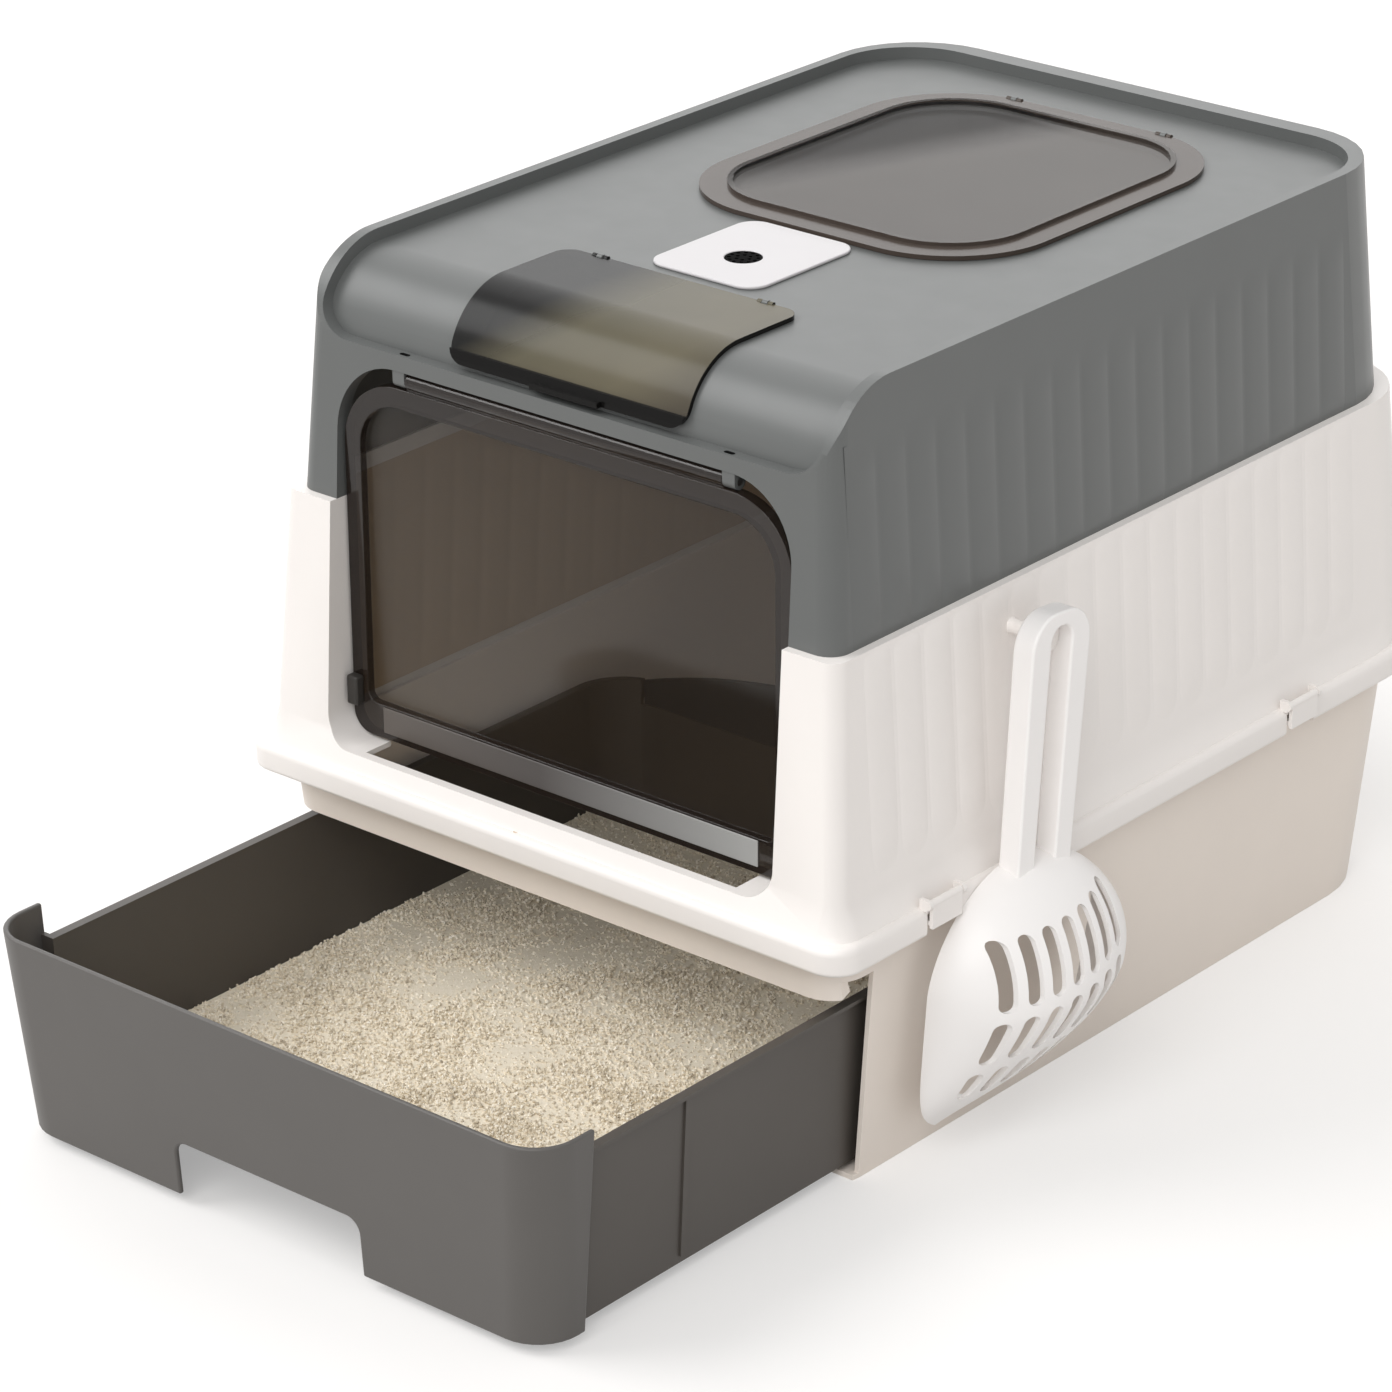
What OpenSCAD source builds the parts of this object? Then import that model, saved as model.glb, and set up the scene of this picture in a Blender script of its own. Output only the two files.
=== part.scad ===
// Drawer litter box: a base tub with a pull-out litter drawer, a ribbed middle
// frame with the cat's doorway, and a hood with a skylight, a front flap and a
// filter. Millimetres. X runs to the right, -Y is the front, Z is up. The origin
// is the middle of the footprint, on the surface that the box stands on.

/* [Walls] */
// Thickness of the moulded walls
wall = 3; // [2.4:0.1:4]
// Thickness of the base tub's floor
floor_t = 3; // [2.5:0.1:5]

/* [Base tub] */
// Height of the base tub up to its rim
base_h = 147; // [135:1:165]
// Outer width of the base tub at its rim
base_w = 385; // [375:1:395]
// Outer length of the base tub at its rim
base_l = 525; // [510:1:535]
// Slope of the tub's walls, inwards going down
base_draft = 0.0743; // [0.05:0.001:0.08]
// Height of the underside of the rail above the drawer
rail_z = 110; // [100:1:114]
// How far the side walls stand back to make room for the drawer's front
cheek_setback = 30; // [24:1:36]

/* [Middle frame] */
// How far the flange reaches past the tub's rim at each side
flange_side = 12.5; // [10:0.5:16]
// How far the flange reaches past the tub's rim at each end
flange_end = 14.5; // [12:0.5:18]
// Height of the joint between middle frame and hood
seam_z = 292.5; // [270:0.5:310]
// How much narrower than the tub the frame is at the joint, at each side
mid_side_inset = 7; // [5:0.5:9]
// How much shorter than the tub the frame is at the joint, at each end
mid_end_inset = 5; // [3:0.5:8]
// Slope of the frame's walls, outwards going down
mid_draft = 0.063; // [0.04:0.001:0.065]
// How far the flange's skirt hangs below the tub's rim
skirt_drop = 12.5; // [10:0.5:16]
// How far the flange's shoulder rises above its top
shoulder_h = 17; // [10:1:24]

/* [Doorway] */
// Width of the frame left at each side of the doorway
doorway_side = 33.5; // [31:0.5:42]
// Height of the sill's top edge
sill_z = 158.5; // [157:0.5:170]
// Height of the doorway's arch above the floor
arch_z = 371.5; // [350:0.5:374]
// Radius of the arch's corners
arch_r = 40; // [30:1:50]
// Radius of the doorway's lower corners
sill_r = 17; // [10:1:20]
// How far the doorway's jambs reach behind the frame's front
jamb_depth = 13.5; // [10:0.5:16]

/* [Hood] */
// Total height of the box
hood_top = 424; // [410:1:440]
// Width of the frame's ledge round the foot of the hood
hood_ledge = 5; // [3.5:0.5:7]
// Slope of the hood's walls, inwards going up
hood_draft = 0.061; // [0.04:0.001:0.07]
// Radius of the hood's front top edge
brow_r = 47; // [40:1:52]
// Radius of the hood's rear corners
hood_rear_r = 56; // [40:1:65]
// How deep the roof panel lies inside its rim
panel_recess = 7; // [4:0.5:8]
// Width of the hood's rim at each side of the roof panel
roof_rim = 14.5; // [12.5:0.5:20]
// Height of the ledge that ends the panel on the front face
ledge_z = 380; // [377:0.5:384]

/* [Front door] */
// Gap between the door and the doorway at each side
door_side_gap = 1.8; // [1:0.1:3]
// Gap under the door
door_sill_gap = 2; // [1.5:0.1:4]
// Height of the door's axle above the floor
door_axle_z = 366; // [362:0.5:367]
// Depth of the door's rolled rim
door_rim_t = 7; // [5:0.5:8]
// Width of the door's rolled rim
door_rim_w = 11; // [8:0.5:12]
// Thickness of the door's clear panel
door_panel_t = 2.5; // [2:0.1:3]
// Radius of the door's axle
door_axle_r = 2; // [1.5:0.1:2.5]

/* [Skylight and flap] */
// Width of the skylight lid
lid_w = 215; // [180:1:230]
// Length of the skylight lid
lid_l = 245; // [200:1:250]
// Place of the lid's middle along the roof
lid_y = 70.5; // [65:0.5:72]
// Thickness of the lid and the flap
clear_t = 2.5; // [2:0.1:3]
// Width of the front flap
flap_w = 157; // [130:1:180]
// Gap between the flap's hinge and the filter cover
flap_gap = 12; // [9:1:16]

/* [Filter] */
// Width of the filter cover
cover_w = 73; // [66:1:80]
// Length of the filter cover
cover_l = 86; // [80:1:87]
// Gap between the filter cover and the skylight lid
cover_gap = 2; // [1:0.5:6]
// Radius of the vent in the filter cover
vent_r = 10; // [8:0.5:12]
// Depth of the filter basket below the roof
basket_h = 13; // [8:1:16]

/* [Drawer] */
// How far the drawer's front stays inside the tub's width at each side
drawer_side_inset = 2; // [1:0.5:4]
// Height of the drawer front's top edge
drawer_top = 119; // [115:0.5:119.5]
// Height of the drawer front's bottom edge
drawer_foot = 6; // [5:0.5:8]
// Length of the drawer over its front
drawer_l = 480; // [460:1:490]
// How far the drawer slides between open and closed
drawer_travel = 209; // [180:1:210]
// How far the drawer's front wraps back along its sides
return_l = 38.6; // [30:0.1:40]
// How far the tray stays inside the tub's rim width at each side
tray_side_inset = 12.5; // [12:0.5:14.5]
// Height of the tray's rim
tray_top = 103; // [96:0.5:105]
// Height of the tray's underside
tray_foot = 7; // [6:0.5:9]
// Height of the litter's surface
litter_z = 28; // [20:1:60]
// Height of the rear guard's arch
guard_top = 130; // [118:1:133]
// Width of the grip notch at the drawer's foot
notch_w = 127; // [90:1:140]
// Height of the grip notch's top edge
notch_top = 38; // [30:1:44]

/* [Clips] */
// Length of each side clip
clip_l = 24; // [18:1:30]
// Place of the front clips along the flange
front_clip_y = -195; // [-205:1:-185]
// Place of the rear clips along the flange
rear_clip_y = 118; // [100:1:150]

/* [Scoop] */
// Height of the scoop's top end
scoop_top = 285; // [275:1:290]
// Width of the scoop's handle at the top
handle_w = 48; // [40:1:54]
// Thickness of the scoop's handle
handle_t = 13; // [10:0.5:16]
// Width of the slot along the handle
handle_slot_w = 17; // [14:0.5:20]
// Radius of the scoop's round bowl
bowl_r = 66; // [58:1:68]
// Thickness of the bowl
bowl_t = 2.5; // [2:0.1:3]
// Width of the bowl's slots
bowl_slot_w = 6.6; // [5:0.1:8]
// Place of the hanging peg along the side
scoop_y = -122; // [-130:1:-110]

/* [Hidden] */

$fn = 48;
hull_fn = 32;
skin = 0.01;       // thickness of the slices that a drafted wall is hulled from
big = 400;         // reach of cutting blocks past the model
gap = 0.3;         // clearance between pieces that move past each other
run_fit = 0.04;    // radial clearance of a pin in the piece that turns on it

dark_plastic = "#6f706d";
white_plastic = "#f3f0ec";
beige_plastic = "#d5cabf";
smoke_plastic = "#5c5246";

// Widths and lengths that follow the tub
flange_w = base_w + 2 * flange_side;
flange_l = base_l + 2 * flange_end;
mid_w = base_w - 2 * mid_side_inset;
mid_l = base_l - 2 * mid_end_inset;
doorway_w = mid_w - 2 * doorway_side;
hood_w = mid_w - 2 * hood_ledge;
hood_l = mid_l - 2 * hood_ledge;
panel_w = hood_w - 2 * roof_rim;
drawer_w = base_w - 2 * drawer_side_inset;
tray_w = base_w - 2 * tray_side_inset;
pad_r = 12;
pad_t = 1.2;
pad_in_x = 42.5;
pad_in_y = 57.5;
pad_x = base_w / 2 - pad_in_x;
pad_y = base_l / 2 - pad_in_y;

// Middle frame and flange heights
skirt_z = base_h - skirt_drop;
flange_top = base_h + wall;
shoulder_z = flange_top + shoulder_h;
mid_rim_z = seam_z - wall;
flange_front_r = 17;
flange_rear_r = 75;
mid_front_r = 9;
mid_rear_r = 52;
tub_front_r = 20;
tub_rear_r = 62;
bead_top = 5;      // flat top of the flange, outside its shoulder
tongue_t = 2;
tongue_h = 6;
tongue_back = 26;

// Hood
hood_front_r = 12;
brow_z = hood_top - brow_r;
brow_y = -(hood_l / 2 - hood_draft * (brow_z - seam_z)) + brow_r;
roof_t = wall;
panel_z = hood_top - panel_recess;
panel_rear_y = hood_l / 2 - 20.5;
panel_rear_r = 46;
panel_corner_r = 20;

// Front door
door_y = -(hood_l / 2 - 9.5);
door_hw = doorway_w / 2 - door_side_gap;
door_foot = sill_z + door_sill_gap;
door_head = door_axle_z - 4.5;
door_front_y = door_y - 4;
door_back_y = door_front_y + door_rim_t;
door_top_r = arch_r - door_side_gap;
door_foot_r = 12;
lug_x = 110;
lug_w = 8;
leaf_r = 4.6;
strip_h = 14.5;
strip_t = 0.8;
strip_up = 3.8;
strip_in = 22;
door_bar_h = strip_up + strip_h + 1;
catch_w = 7.5;
catch_t = 6;
catch_h = 16.5;

// Skylight, flap and filter
lid_r = 62;
lid_rim = 12;
lid_floor = panel_z + gap;
lid_axis_in = 0.7;
lid_axis_y = lid_y + lid_l / 2 - lid_axis_in;
hinge_z = panel_z + 2.1;
knuckle_r = 1.9;
hinge_pin_r = 0.8;
lid_ear_in = 56.5;
flap_ear_in = 23.5;
lid_ear_x = lid_w / 2 - lid_ear_in;
flap_ear_x = flap_w / 2 - flap_ear_in;
ear_w = 3.4;
ear_reach = 4.5;
finger_w = 3;
port_side = 16.5;
port_w = flap_w - 2 * port_side;
port_rear = 16;
port_z = 390;
cover_t = 1.6;
cover_r = 12;
vent_shift = 7;
cover_y = lid_y - lid_l / 2 - cover_gap - cover_l / 2;
vent_y = cover_y - vent_shift;
flap_hinge_y = cover_y - cover_l / 2 - flap_gap;
hole_margin = 6.5;
lip_step = 3;
lip_t = 1.5;

// Drawer
drawer_front_y = -(base_l / 2 + 8.8) - drawer_travel;
drawer_mid_y = drawer_front_y + drawer_l / 2;
drawer_rear_y = drawer_front_y + drawer_l;
return_y = drawer_front_y + return_l;
tray_front_y = drawer_front_y + 14.3;
tray_l = drawer_rear_y - tray_front_y;
tray_mid_y = (tray_front_y + drawer_rear_y) / 2;
tray_draft = 0.052;
drawer_r = 25;
tray_front_r = 20;
tray_rear_r = 30;
tray_t = 2.5;
lip_w = 3;
ramp_reach = 51.5;
ramp_w = notch_w + 2 * ramp_reach;
ramp_run = 53;
ramp_y = tray_front_y + ramp_run;
guard_z = 88;
guard_r = 474;
guard_in = 20;
guard_w = tray_w - 2 * guard_in;
guard_seat = 40;
glide_in = 30;
glide_x = tray_w / 2 - glide_in;
glide_w = 8;
glide_front = 10;
glide_rear = 40;
rib_back = 105;
rib_y = tray_front_y + rib_back;
rib_w = 4;
rib_t = 1.2;
press = 0.3;       // how deep a snapped joint bites
post_in = 30;
post_step = 20;
stop_z = 18;
stop_h = 20;
stop_w = 6;
stop_y = drawer_rear_y - tray_rear_r - stop_w;

// Clips
clip_x = flange_w / 2 + 1;
clip_z = flange_top + 2.5;
clip_pin_r = 1;
clip_barrel_r = 2;
clip_plate_t = 2.4;
clip_ear_w = 2.4;

// Scoop
scoop_x = flange_w / 2 + 1;
scoop_lean = -5.2;
hang_z = 269;
peg_y = scoop_y + 2.9;
bowl_z = 93;
bowl_x = scoop_x - 9;
bowl_drop = 12;
bowl_rise = 37;
handle_foot = bowl_z - hang_z + bowl_rise;
bowl_brow = handle_foot + 22;
handle_slot_l = 131;
slot_count = 8;
slot_start_y = -50;
slot_rib = 3.8;

function base_half(z) = base_w / 2 - base_draft * (base_h - z);
function mid_half(z) = mid_w / 2 + mid_draft * (seam_z - z);

// Rounded rectangle centred on the origin, with its own radius at each end
module plan(w, l, r_front, r_rear) {
    translate([-w / 2, -l / 2 + r_front]) square([w, l - r_front - r_rear]);
    translate([-w / 2 + r_front, -l / 2]) square([w - 2 * r_front, r_front + skin]);
    translate([-w / 2 + r_rear, l / 2 - r_rear - skin]) square([w - 2 * r_rear, r_rear + skin]);
    for (side = [-1, 1]) {
        translate([side * (w / 2 - r_front), -l / 2 + r_front]) circle(r_front);
        translate([side * (w / 2 - r_rear), l / 2 - r_rear]) circle(r_rear);
    }
}

// Block with drafted walls: w and l are its size at height ref, and draft is how
// much each wall moves inwards per millimetre upwards
module drafted(w, l, r_front, r_rear, ref, z0, z1, draft) {
    hull() for (z = [z0, z1 - skin])
        translate([0, 0, z]) linear_extrude(skin)
            plan(w - 2 * draft * (z - ref), l - 2 * draft * (z - ref),
                 r_front, r_rear, $fn = hull_fn);
}

// A plan-view shape stood up as a hole or ring through the front wall
module upright(w, z0, z1, r_low, r_high, y0, y1) {
    translate([0, y1, (z0 + z1) / 2]) rotate([90, 0, 0])
        linear_extrude(y1 - y0) plan(w, z1 - z0, r_low, r_high);
}

// A side-view shape (Y, Z) extruded along X between x0 and x1
module across(x0, x1) {
    translate([x0, 0, 0]) rotate([90, 0, 90]) linear_extrude(x1 - x0) children();
}

module cyl_x(r, x0, x1, y, z) {
    translate([x0, y, z]) rotate([0, 90, 0]) cylinder(r = r, h = x1 - x0);
}

module cyl_y(r, y0, y1, x, z) {
    translate([x, y1, z]) rotate([90, 0, 0]) cylinder(r = r, h = y1 - y0);
}

module block(x0, x1, y0, y1, z0, z1) {
    translate([x0, y0, z0]) cube([x1 - x0, y1 - y0, z1 - z0]);
}

// ---------------------------------------------------------------- base tub

module base_tub() color(beige_plastic) {
    front_y = -base_l / 2;
    cheek_y = front_y + cheek_setback;
    cheek_top = drawer_top + 1.5;
    rail_half = drawer_w / 2 - wall - 1.5;
    difference() {
        union() {
            drafted(base_w, base_l, tub_front_r, tub_rear_r, base_h, 0, base_h, -base_draft);
            translate([0, 0, base_h - wall]) linear_extrude(wall)
                plan(flange_w - 2 * wall - 2, flange_l - 2 * wall - 2,
                     flange_front_r - wall, flange_rear_r - wall);
        }
        drafted(base_w - 2 * wall, base_l - 2 * wall, tub_front_r - wall, tub_rear_r - wall,
                base_h, floor_t, base_h + 1, -base_draft);
        block(-big, big, -big, cheek_y - 4, -1, rail_z);
        block(-big, big, -big, cheek_y, floor_t, rail_z);
        for (side = [0, 1]) mirror([side, 0, 0]) {
            block(rail_half, base_w / 2 + 2, -big, cheek_y, floor_t, cheek_top);
            across(rail_half - 16, rail_half + 1)
                polygon([[front_y + 8, rail_z - 1], [cheek_y, rail_z - 1], [cheek_y, rail_z + 8]]);
        }
        pad_recesses();
    }
    // Bosses that stop the open drawer
    for (side = [0, 1]) mirror([side, 0, 0])
        block(tray_stop_x() - 1.6, base_half(stop_z) - wall / 2, stop_y - stop_w - gap,
              stop_y - gap, stop_z - 4, stop_z + stop_h);
}

function tray_half(z) = tray_w / 2 - tray_draft * (tray_top - z);
function tray_stop_x() = base_half(stop_z) - wall - 0.5;

module pad_places() {
    for (x = [-pad_x, pad_x], y = [-pad_y, pad_y]) translate([x, y, 0]) children();
}

module pad_recesses() {
    pad_places() translate([0, 0, -1]) cylinder(r = pad_r, h = pad_t + 1);
}

module grip_pads() color("#4b4b4b") {
    pad_places() cylinder(r = pad_r, h = pad_t);
}

// ------------------------------------------------------------ middle frame

module doorway() {
    upright(doorway_w, sill_z, arch_z, sill_r, arch_r, -big, door_y + 20);
}

module jamb_ring(back_y) {
    difference() {
        upright(doorway_w + 2 * wall, sill_z - wall, arch_z + wall, sill_r + wall,
                arch_r + wall, -big, back_y);
        doorway();
        // the sill itself has no return, only its corners have
        block(-doorway_w / 2 + sill_r + 8, doorway_w / 2 - sill_r - 8, -big, big, 0, sill_z + 1);
    }
}

module mid_frame() color(white_plastic) {
    difference() {
        union() {
            difference() {
                union() {
                    drafted(mid_w, mid_l, mid_front_r, mid_rear_r, seam_z, base_h, seam_z, mid_draft);
                    // flange with its skirt
                    translate([0, 0, skirt_z]) linear_extrude(flange_top - skirt_z)
                        plan(flange_w, flange_l, flange_front_r, flange_rear_r);
                    shoulder();
                }
                // cabin
                drafted(mid_w - 2 * wall, mid_l - 2 * wall, mid_front_r - wall, mid_rear_r - wall,
                        seam_z, base_h - 1, mid_rim_z, mid_draft);
                // hollow of the skirt, which drops over the tub's rim
                translate([0, 0, skirt_z - 1]) linear_extrude(skirt_drop + 1)
                    plan(flange_w - 2 * wall, flange_l - 2 * wall,
                         flange_front_r - wall, flange_rear_r - wall);
                // opening under the hood
                translate([0, 0, mid_rim_z - 1]) linear_extrude(wall + 2)
                    plan(hood_w - 2 * wall - 2, hood_l - 2 * wall - 2, mid_front_r, mid_rear_r);
            }
            intersection() {
                jamb_ring(-(mid_l / 2 - jamb_depth));
                drafted(mid_w, mid_l, mid_front_r, mid_rear_r, seam_z, base_h, seam_z, mid_draft);
            }
            seam_tongue();
            for (y = [front_clip_y, rear_clip_y]) for (side = [0, 1])
                mirror([side, 0, 0]) clip_ears(y);
        }
        doorway();
        for (y = [front_clip_y, rear_clip_y]) for (side = [0, 1])
            mirror([side, 0, 0]) {
                block(flange_w / 2 - wall - 1, flange_w / 2 + 1, y - clip_l / 2 - 1,
                      y + clip_l / 2 + 1, skirt_z - 1, base_h);
                cyl_y(clip_pin_r + run_fit / 2, y - clip_l, y + clip_l, clip_x, clip_z);
            }
    }
}

module shoulder() {
    step = 4;
    half = mid_half(shoulder_z);
    hull() {
        translate([0, 0, flange_top - skin]) linear_extrude(skin)
            plan(flange_w - 2 * bead_top, flange_l - 2 * bead_top, flange_front_r,
                 flange_rear_r, $fn = hull_fn);
        translate([0, 0, flange_top + step]) linear_extrude(skin)
            plan(2 * half + 10, 2 * half + 10 + mid_l - mid_w, flange_front_r, flange_rear_r - 6,
                 $fn = hull_fn);
    }
    hull() {
        translate([0, 0, flange_top + step]) linear_extrude(skin)
            plan(2 * half + 10, 2 * half + 10 + mid_l - mid_w, flange_front_r, flange_rear_r - 6,
                 $fn = hull_fn);
        translate([0, 0, shoulder_z]) linear_extrude(skin)
            plan(2 * half, 2 * half + mid_l - mid_w, mid_front_r, mid_rear_r, $fn = hull_fn);
    }
}

// Lip that centres the hood, left out around the doorway
module seam_tongue() {
    outer = hood_w - 2 * wall - 2;
    length = hood_l - 2 * wall - 2;
    difference() {
        translate([0, 0, mid_rim_z]) linear_extrude(wall + tongue_h)
            plan(outer, length, mid_front_r, mid_rear_r);
        translate([0, 0, mid_rim_z - 1]) linear_extrude(wall + tongue_h + 2)
            plan(outer - 2 * tongue_t, length - 2 * tongue_t, mid_front_r, mid_rear_r);
        block(-big, big, -big, -length / 2 + tongue_back, 0, big * 2);
    }
}

module clip_ears(y) {
    for (end = [-1, 1]) translate([0, y + end * (clip_l / 2 + gap + clip_ear_w / 2), 0]) {
        cyl_y(clip_barrel_r + 0.4, -clip_ear_w / 2, clip_ear_w / 2, clip_x, clip_z);
        block(clip_x - 5, clip_x, -clip_ear_w / 2, clip_ear_w / 2, flange_top - 1, clip_z + 2.8);
        block(clip_x - 5, clip_x - 1, -clip_ear_w / 2, clip_ear_w / 2, flange_top - 2, clip_z);
    }
}

module clip_pins() color("#c9c9c9") {
    reach = clip_l / 2 + gap + clip_ear_w;
    for (y = [front_clip_y, rear_clip_y]) for (side = [0, 1])
        mirror([side, 0, 0]) cyl_y(clip_pin_r, y - reach, y + reach, clip_x, clip_z);
}

// Flip clip: a plate that hangs from its pin, with a tongue under the tub's rim
module clip(y) {
    tongue_top = base_h - wall - 0.8;
    difference() {
        union() {
            cyl_y(clip_barrel_r, y - clip_l / 2, y + clip_l / 2, clip_x, clip_z);
            block(clip_x - 1 + gap, clip_x - 1 + gap + clip_plate_t, y - clip_l / 2,
                  y + clip_l / 2, skirt_z + 4.5, clip_z);
            block(flange_w / 2 - 6.5, clip_x, y - clip_l / 2, y + clip_l / 2,
                  tongue_top - 2.7, tongue_top);
        }
        cyl_y(clip_pin_r + run_fit, y - clip_l, y + clip_l, clip_x, clip_z);
    }
}

module clip_right_front() color(white_plastic) clip(front_clip_y);
module clip_right_rear() color(white_plastic) clip(rear_clip_y);
module clip_left_front() color(white_plastic) mirror([1, 0, 0]) clip(front_clip_y);
module clip_left_rear() color(white_plastic) mirror([1, 0, 0]) clip(rear_clip_y);

// -------------------------------------------------------------------- hood

// Side view of the hood, taken in by inset: flat roof and rounded brow
module hood_side(inset) {
    translate([brow_y, 0]) square([big * 2, hood_top - inset]);
    translate([-big, 0]) square([big + brow_y, brow_z]);
    translate([brow_y, brow_z]) circle(brow_r - inset);
}

module hood_block() {
    intersection() {
        drafted(hood_w, hood_l, hood_front_r, hood_rear_r, seam_z, seam_z, hood_top + 1, hood_draft);
        across(-big, big) hood_side(0);
    }
}

module hood() color(dark_plastic) {
    difference() {
        union() {
            difference() {
                hood_block();
                intersection() {
                    drafted(hood_w - 2 * wall, hood_l - 2 * wall, hood_front_r - wall,
                            hood_rear_r - wall, seam_z, seam_z - 1, hood_top, hood_draft);
                    across(-big, big) hood_side(panel_recess + roof_t);
                }
                roof_recess();
            }
            intersection() {
                hood_block();
                jamb_ring(door_y + 3);
            }
            door_lugs();
            for (x = [-lid_ear_x, lid_ear_x]) hinge_ear(x, lid_axis_y);
            for (x = [-flap_ear_x, flap_ear_x]) hinge_ear(x, flap_hinge_y);
        }
        doorway_above_lugs();
        skylight_hole();
        // flap port through the brow
        block(-port_w / 2, port_w / 2, -big, flap_hinge_y - port_rear, port_z, big * 2);
        filter_hole();
        cyl_x(door_axle_r + run_fit, -lug_x - lug_w, lug_x + lug_w, door_y, door_axle_z);
        for (x = [-lid_ear_x, lid_ear_x])
            cyl_x(hinge_pin_r, x - ear_w, x + ear_w, lid_axis_y, hinge_z);
        for (x = [-flap_ear_x, flap_ear_x])
            cyl_x(hinge_pin_r, x - ear_w, x + ear_w, flap_hinge_y, hinge_z);
    }
}

module doorway_above_lugs() {
    difference() {
        doorway();
        door_lugs();
    }
}

// Lugs under the arch that carry the door's axle
module door_lugs() {
    for (x = [-lug_x, lug_x]) {
        cyl_x(leaf_r - 0.4, x - lug_w / 2, x + lug_w / 2, door_y, door_axle_z);
        block(x - lug_w / 2, x + lug_w / 2, door_y - leaf_r + 0.4, door_y + 3,
              door_axle_z, arch_z + 1);
    }
}

module roof_recess() {
    difference() {
        intersection() {
            translate([0, (panel_rear_y - big) / 2, ledge_z]) linear_extrude(big)
                plan(panel_w, panel_rear_y + big, 1, panel_rear_r);
            union() {
                upright(panel_w, ledge_z, 2 * big, panel_corner_r, 1, -big, brow_y);
                block(-big, big, brow_y - 1, big, ledge_z, 2 * big);
            }
        }
        across(-big, big) hood_side(panel_recess);
    }
}

module lid_outline(inset) {
    translate([0, lid_y]) plan(lid_w - 2 * inset, lid_l - 2 * inset, lid_r - inset, lid_r - inset);
}

module skylight_hole() {
    translate([0, 0, ledge_z]) linear_extrude(big) lid_outline(lid_rim);
}

module filter_hole() {
    hole_w = cover_w - 2 * hole_margin;
    hole_l = cover_l - 2 * hole_margin - 10;
    translate([0, cover_y, ledge_z]) linear_extrude(big) plan(hole_w, hole_l, 6, 6);
    translate([0, cover_y, panel_z - lip_t]) linear_extrude(big)
        plan(hole_w + 2 * lip_step, hole_l + 2 * lip_step, 8, 8);
}

module hinge_ear(x, y) {
    cyl_x(knuckle_r, x - ear_w / 2, x + ear_w / 2, y, hinge_z);
    block(x - ear_w / 2, x + ear_w / 2, y - knuckle_r, y + knuckle_r, panel_z - 1, hinge_z);
}

// ------------------------------------------------------------------ filter

module filter_cover() color(white_plastic) {
    translate([0, cover_y, panel_z]) linear_extrude(cover_t) difference() {
        plan(cover_w, cover_l, cover_r, cover_r);
        translate([0, vent_y - cover_y]) circle(vent_r);
    }
}

// Black grille that snaps into the vent from below
module vent_grille() color("#1c1c1c") {
    translate([0, vent_y, 0]) difference() {
        union() {
            translate([0, 0, panel_z - 1.4]) cylinder(r = vent_r + 3, h = 1.4);
            translate([0, 0, panel_z]) cylinder(r = vent_r - 0.1, h = cover_t - 0.3);
        }
        for (ring = [1, 2]) for (turn = [0 : 60 / ring : 359])
            rotate([0, 0, turn]) translate([ring * vent_r * 0.38, 0, panel_z - 2])
                cylinder(r = 1.1, h = 5, $fn = 16);
    }
}

module filter_basket() color(dark_plastic) {
    hole_w = cover_w - 2 * hole_margin;
    hole_l = cover_l - 2 * hole_margin - 10;
    body_w = hole_w - 2 * gap;
    body_l = hole_l - 2 * gap;
    translate([0, cover_y, 0]) difference() {
        union() {
            translate([0, 0, panel_z - lip_t]) linear_extrude(lip_t - 0.05)
                plan(hole_w + 2 * lip_step - 0.2, hole_l + 2 * lip_step - 0.2, 8, 8);
            translate([0, 0, panel_z - lip_t - basket_h]) linear_extrude(basket_h + skin)
                plan(body_w, body_l, 6, 6);
        }
        translate([0, 0, panel_z - lip_t - basket_h + 1.6]) linear_extrude(big)
            plan(body_w - 3, body_l - 3, 5, 5);
        for (x = [-20 : 8 : 20])
            block(x - 2, x + 2, -body_l / 2 + 8, body_l / 2 - 8, 0, big * 2);
    }
}

module filter_pad() color("#333333") {
    body_w = cover_w - 2 * hole_margin - 2 * gap - 3;
    body_l = cover_l - 2 * hole_margin - 10 - 2 * gap - 3;
    translate([0, cover_y, panel_z - lip_t - basket_h + 1.6]) linear_extrude(basket_h - 3)
        plan(body_w - 0.6, body_l - 0.6, 5, 5);
}

// --------------------------------------------------------- skylight and flap

// Knuckles of a lid or flap, one at each side of each ear
module knuckles(ear_x, y) {
    near = ear_w / 2 + gap;
    for (x = [-ear_x, ear_x]) for (start = [-near - finger_w, near])
        cyl_x(knuckle_r - 0.2, x + start, x + start + finger_w, y, hinge_z);
}

module ear_notches(ear_x, y) {
    for (x = [-ear_x, ear_x])
        block(x - ear_w / 2 - gap, x + ear_w / 2 + gap, y - knuckle_r - 0.6, y + 2 * knuckle_r,
              lid_floor - 1, 2 * big);
}

module knuckle_bores(ear_x, y) {
    reach = ear_w / 2 + gap + finger_w + skin;
    for (x = [-ear_x, ear_x]) cyl_x(hinge_pin_r + run_fit, x - reach, x + reach, y, hinge_z);
}

module skylight_lid() color(smoke_plastic) {
    ridge_in = 15;
    ridge_w = 3;
    difference() {
        union() {
            translate([0, 0, lid_floor]) linear_extrude(clear_t) lid_outline(0);
            translate([0, 0, lid_floor + clear_t - skin]) linear_extrude(2) difference() {
                lid_outline(ridge_in);
                lid_outline(ridge_in + ridge_w);
            }
            knuckles(lid_ear_x, lid_axis_y);
        }
        ear_notches(lid_ear_x, lid_axis_y);
        knuckle_bores(lid_ear_x, lid_axis_y);
    }
}

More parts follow.
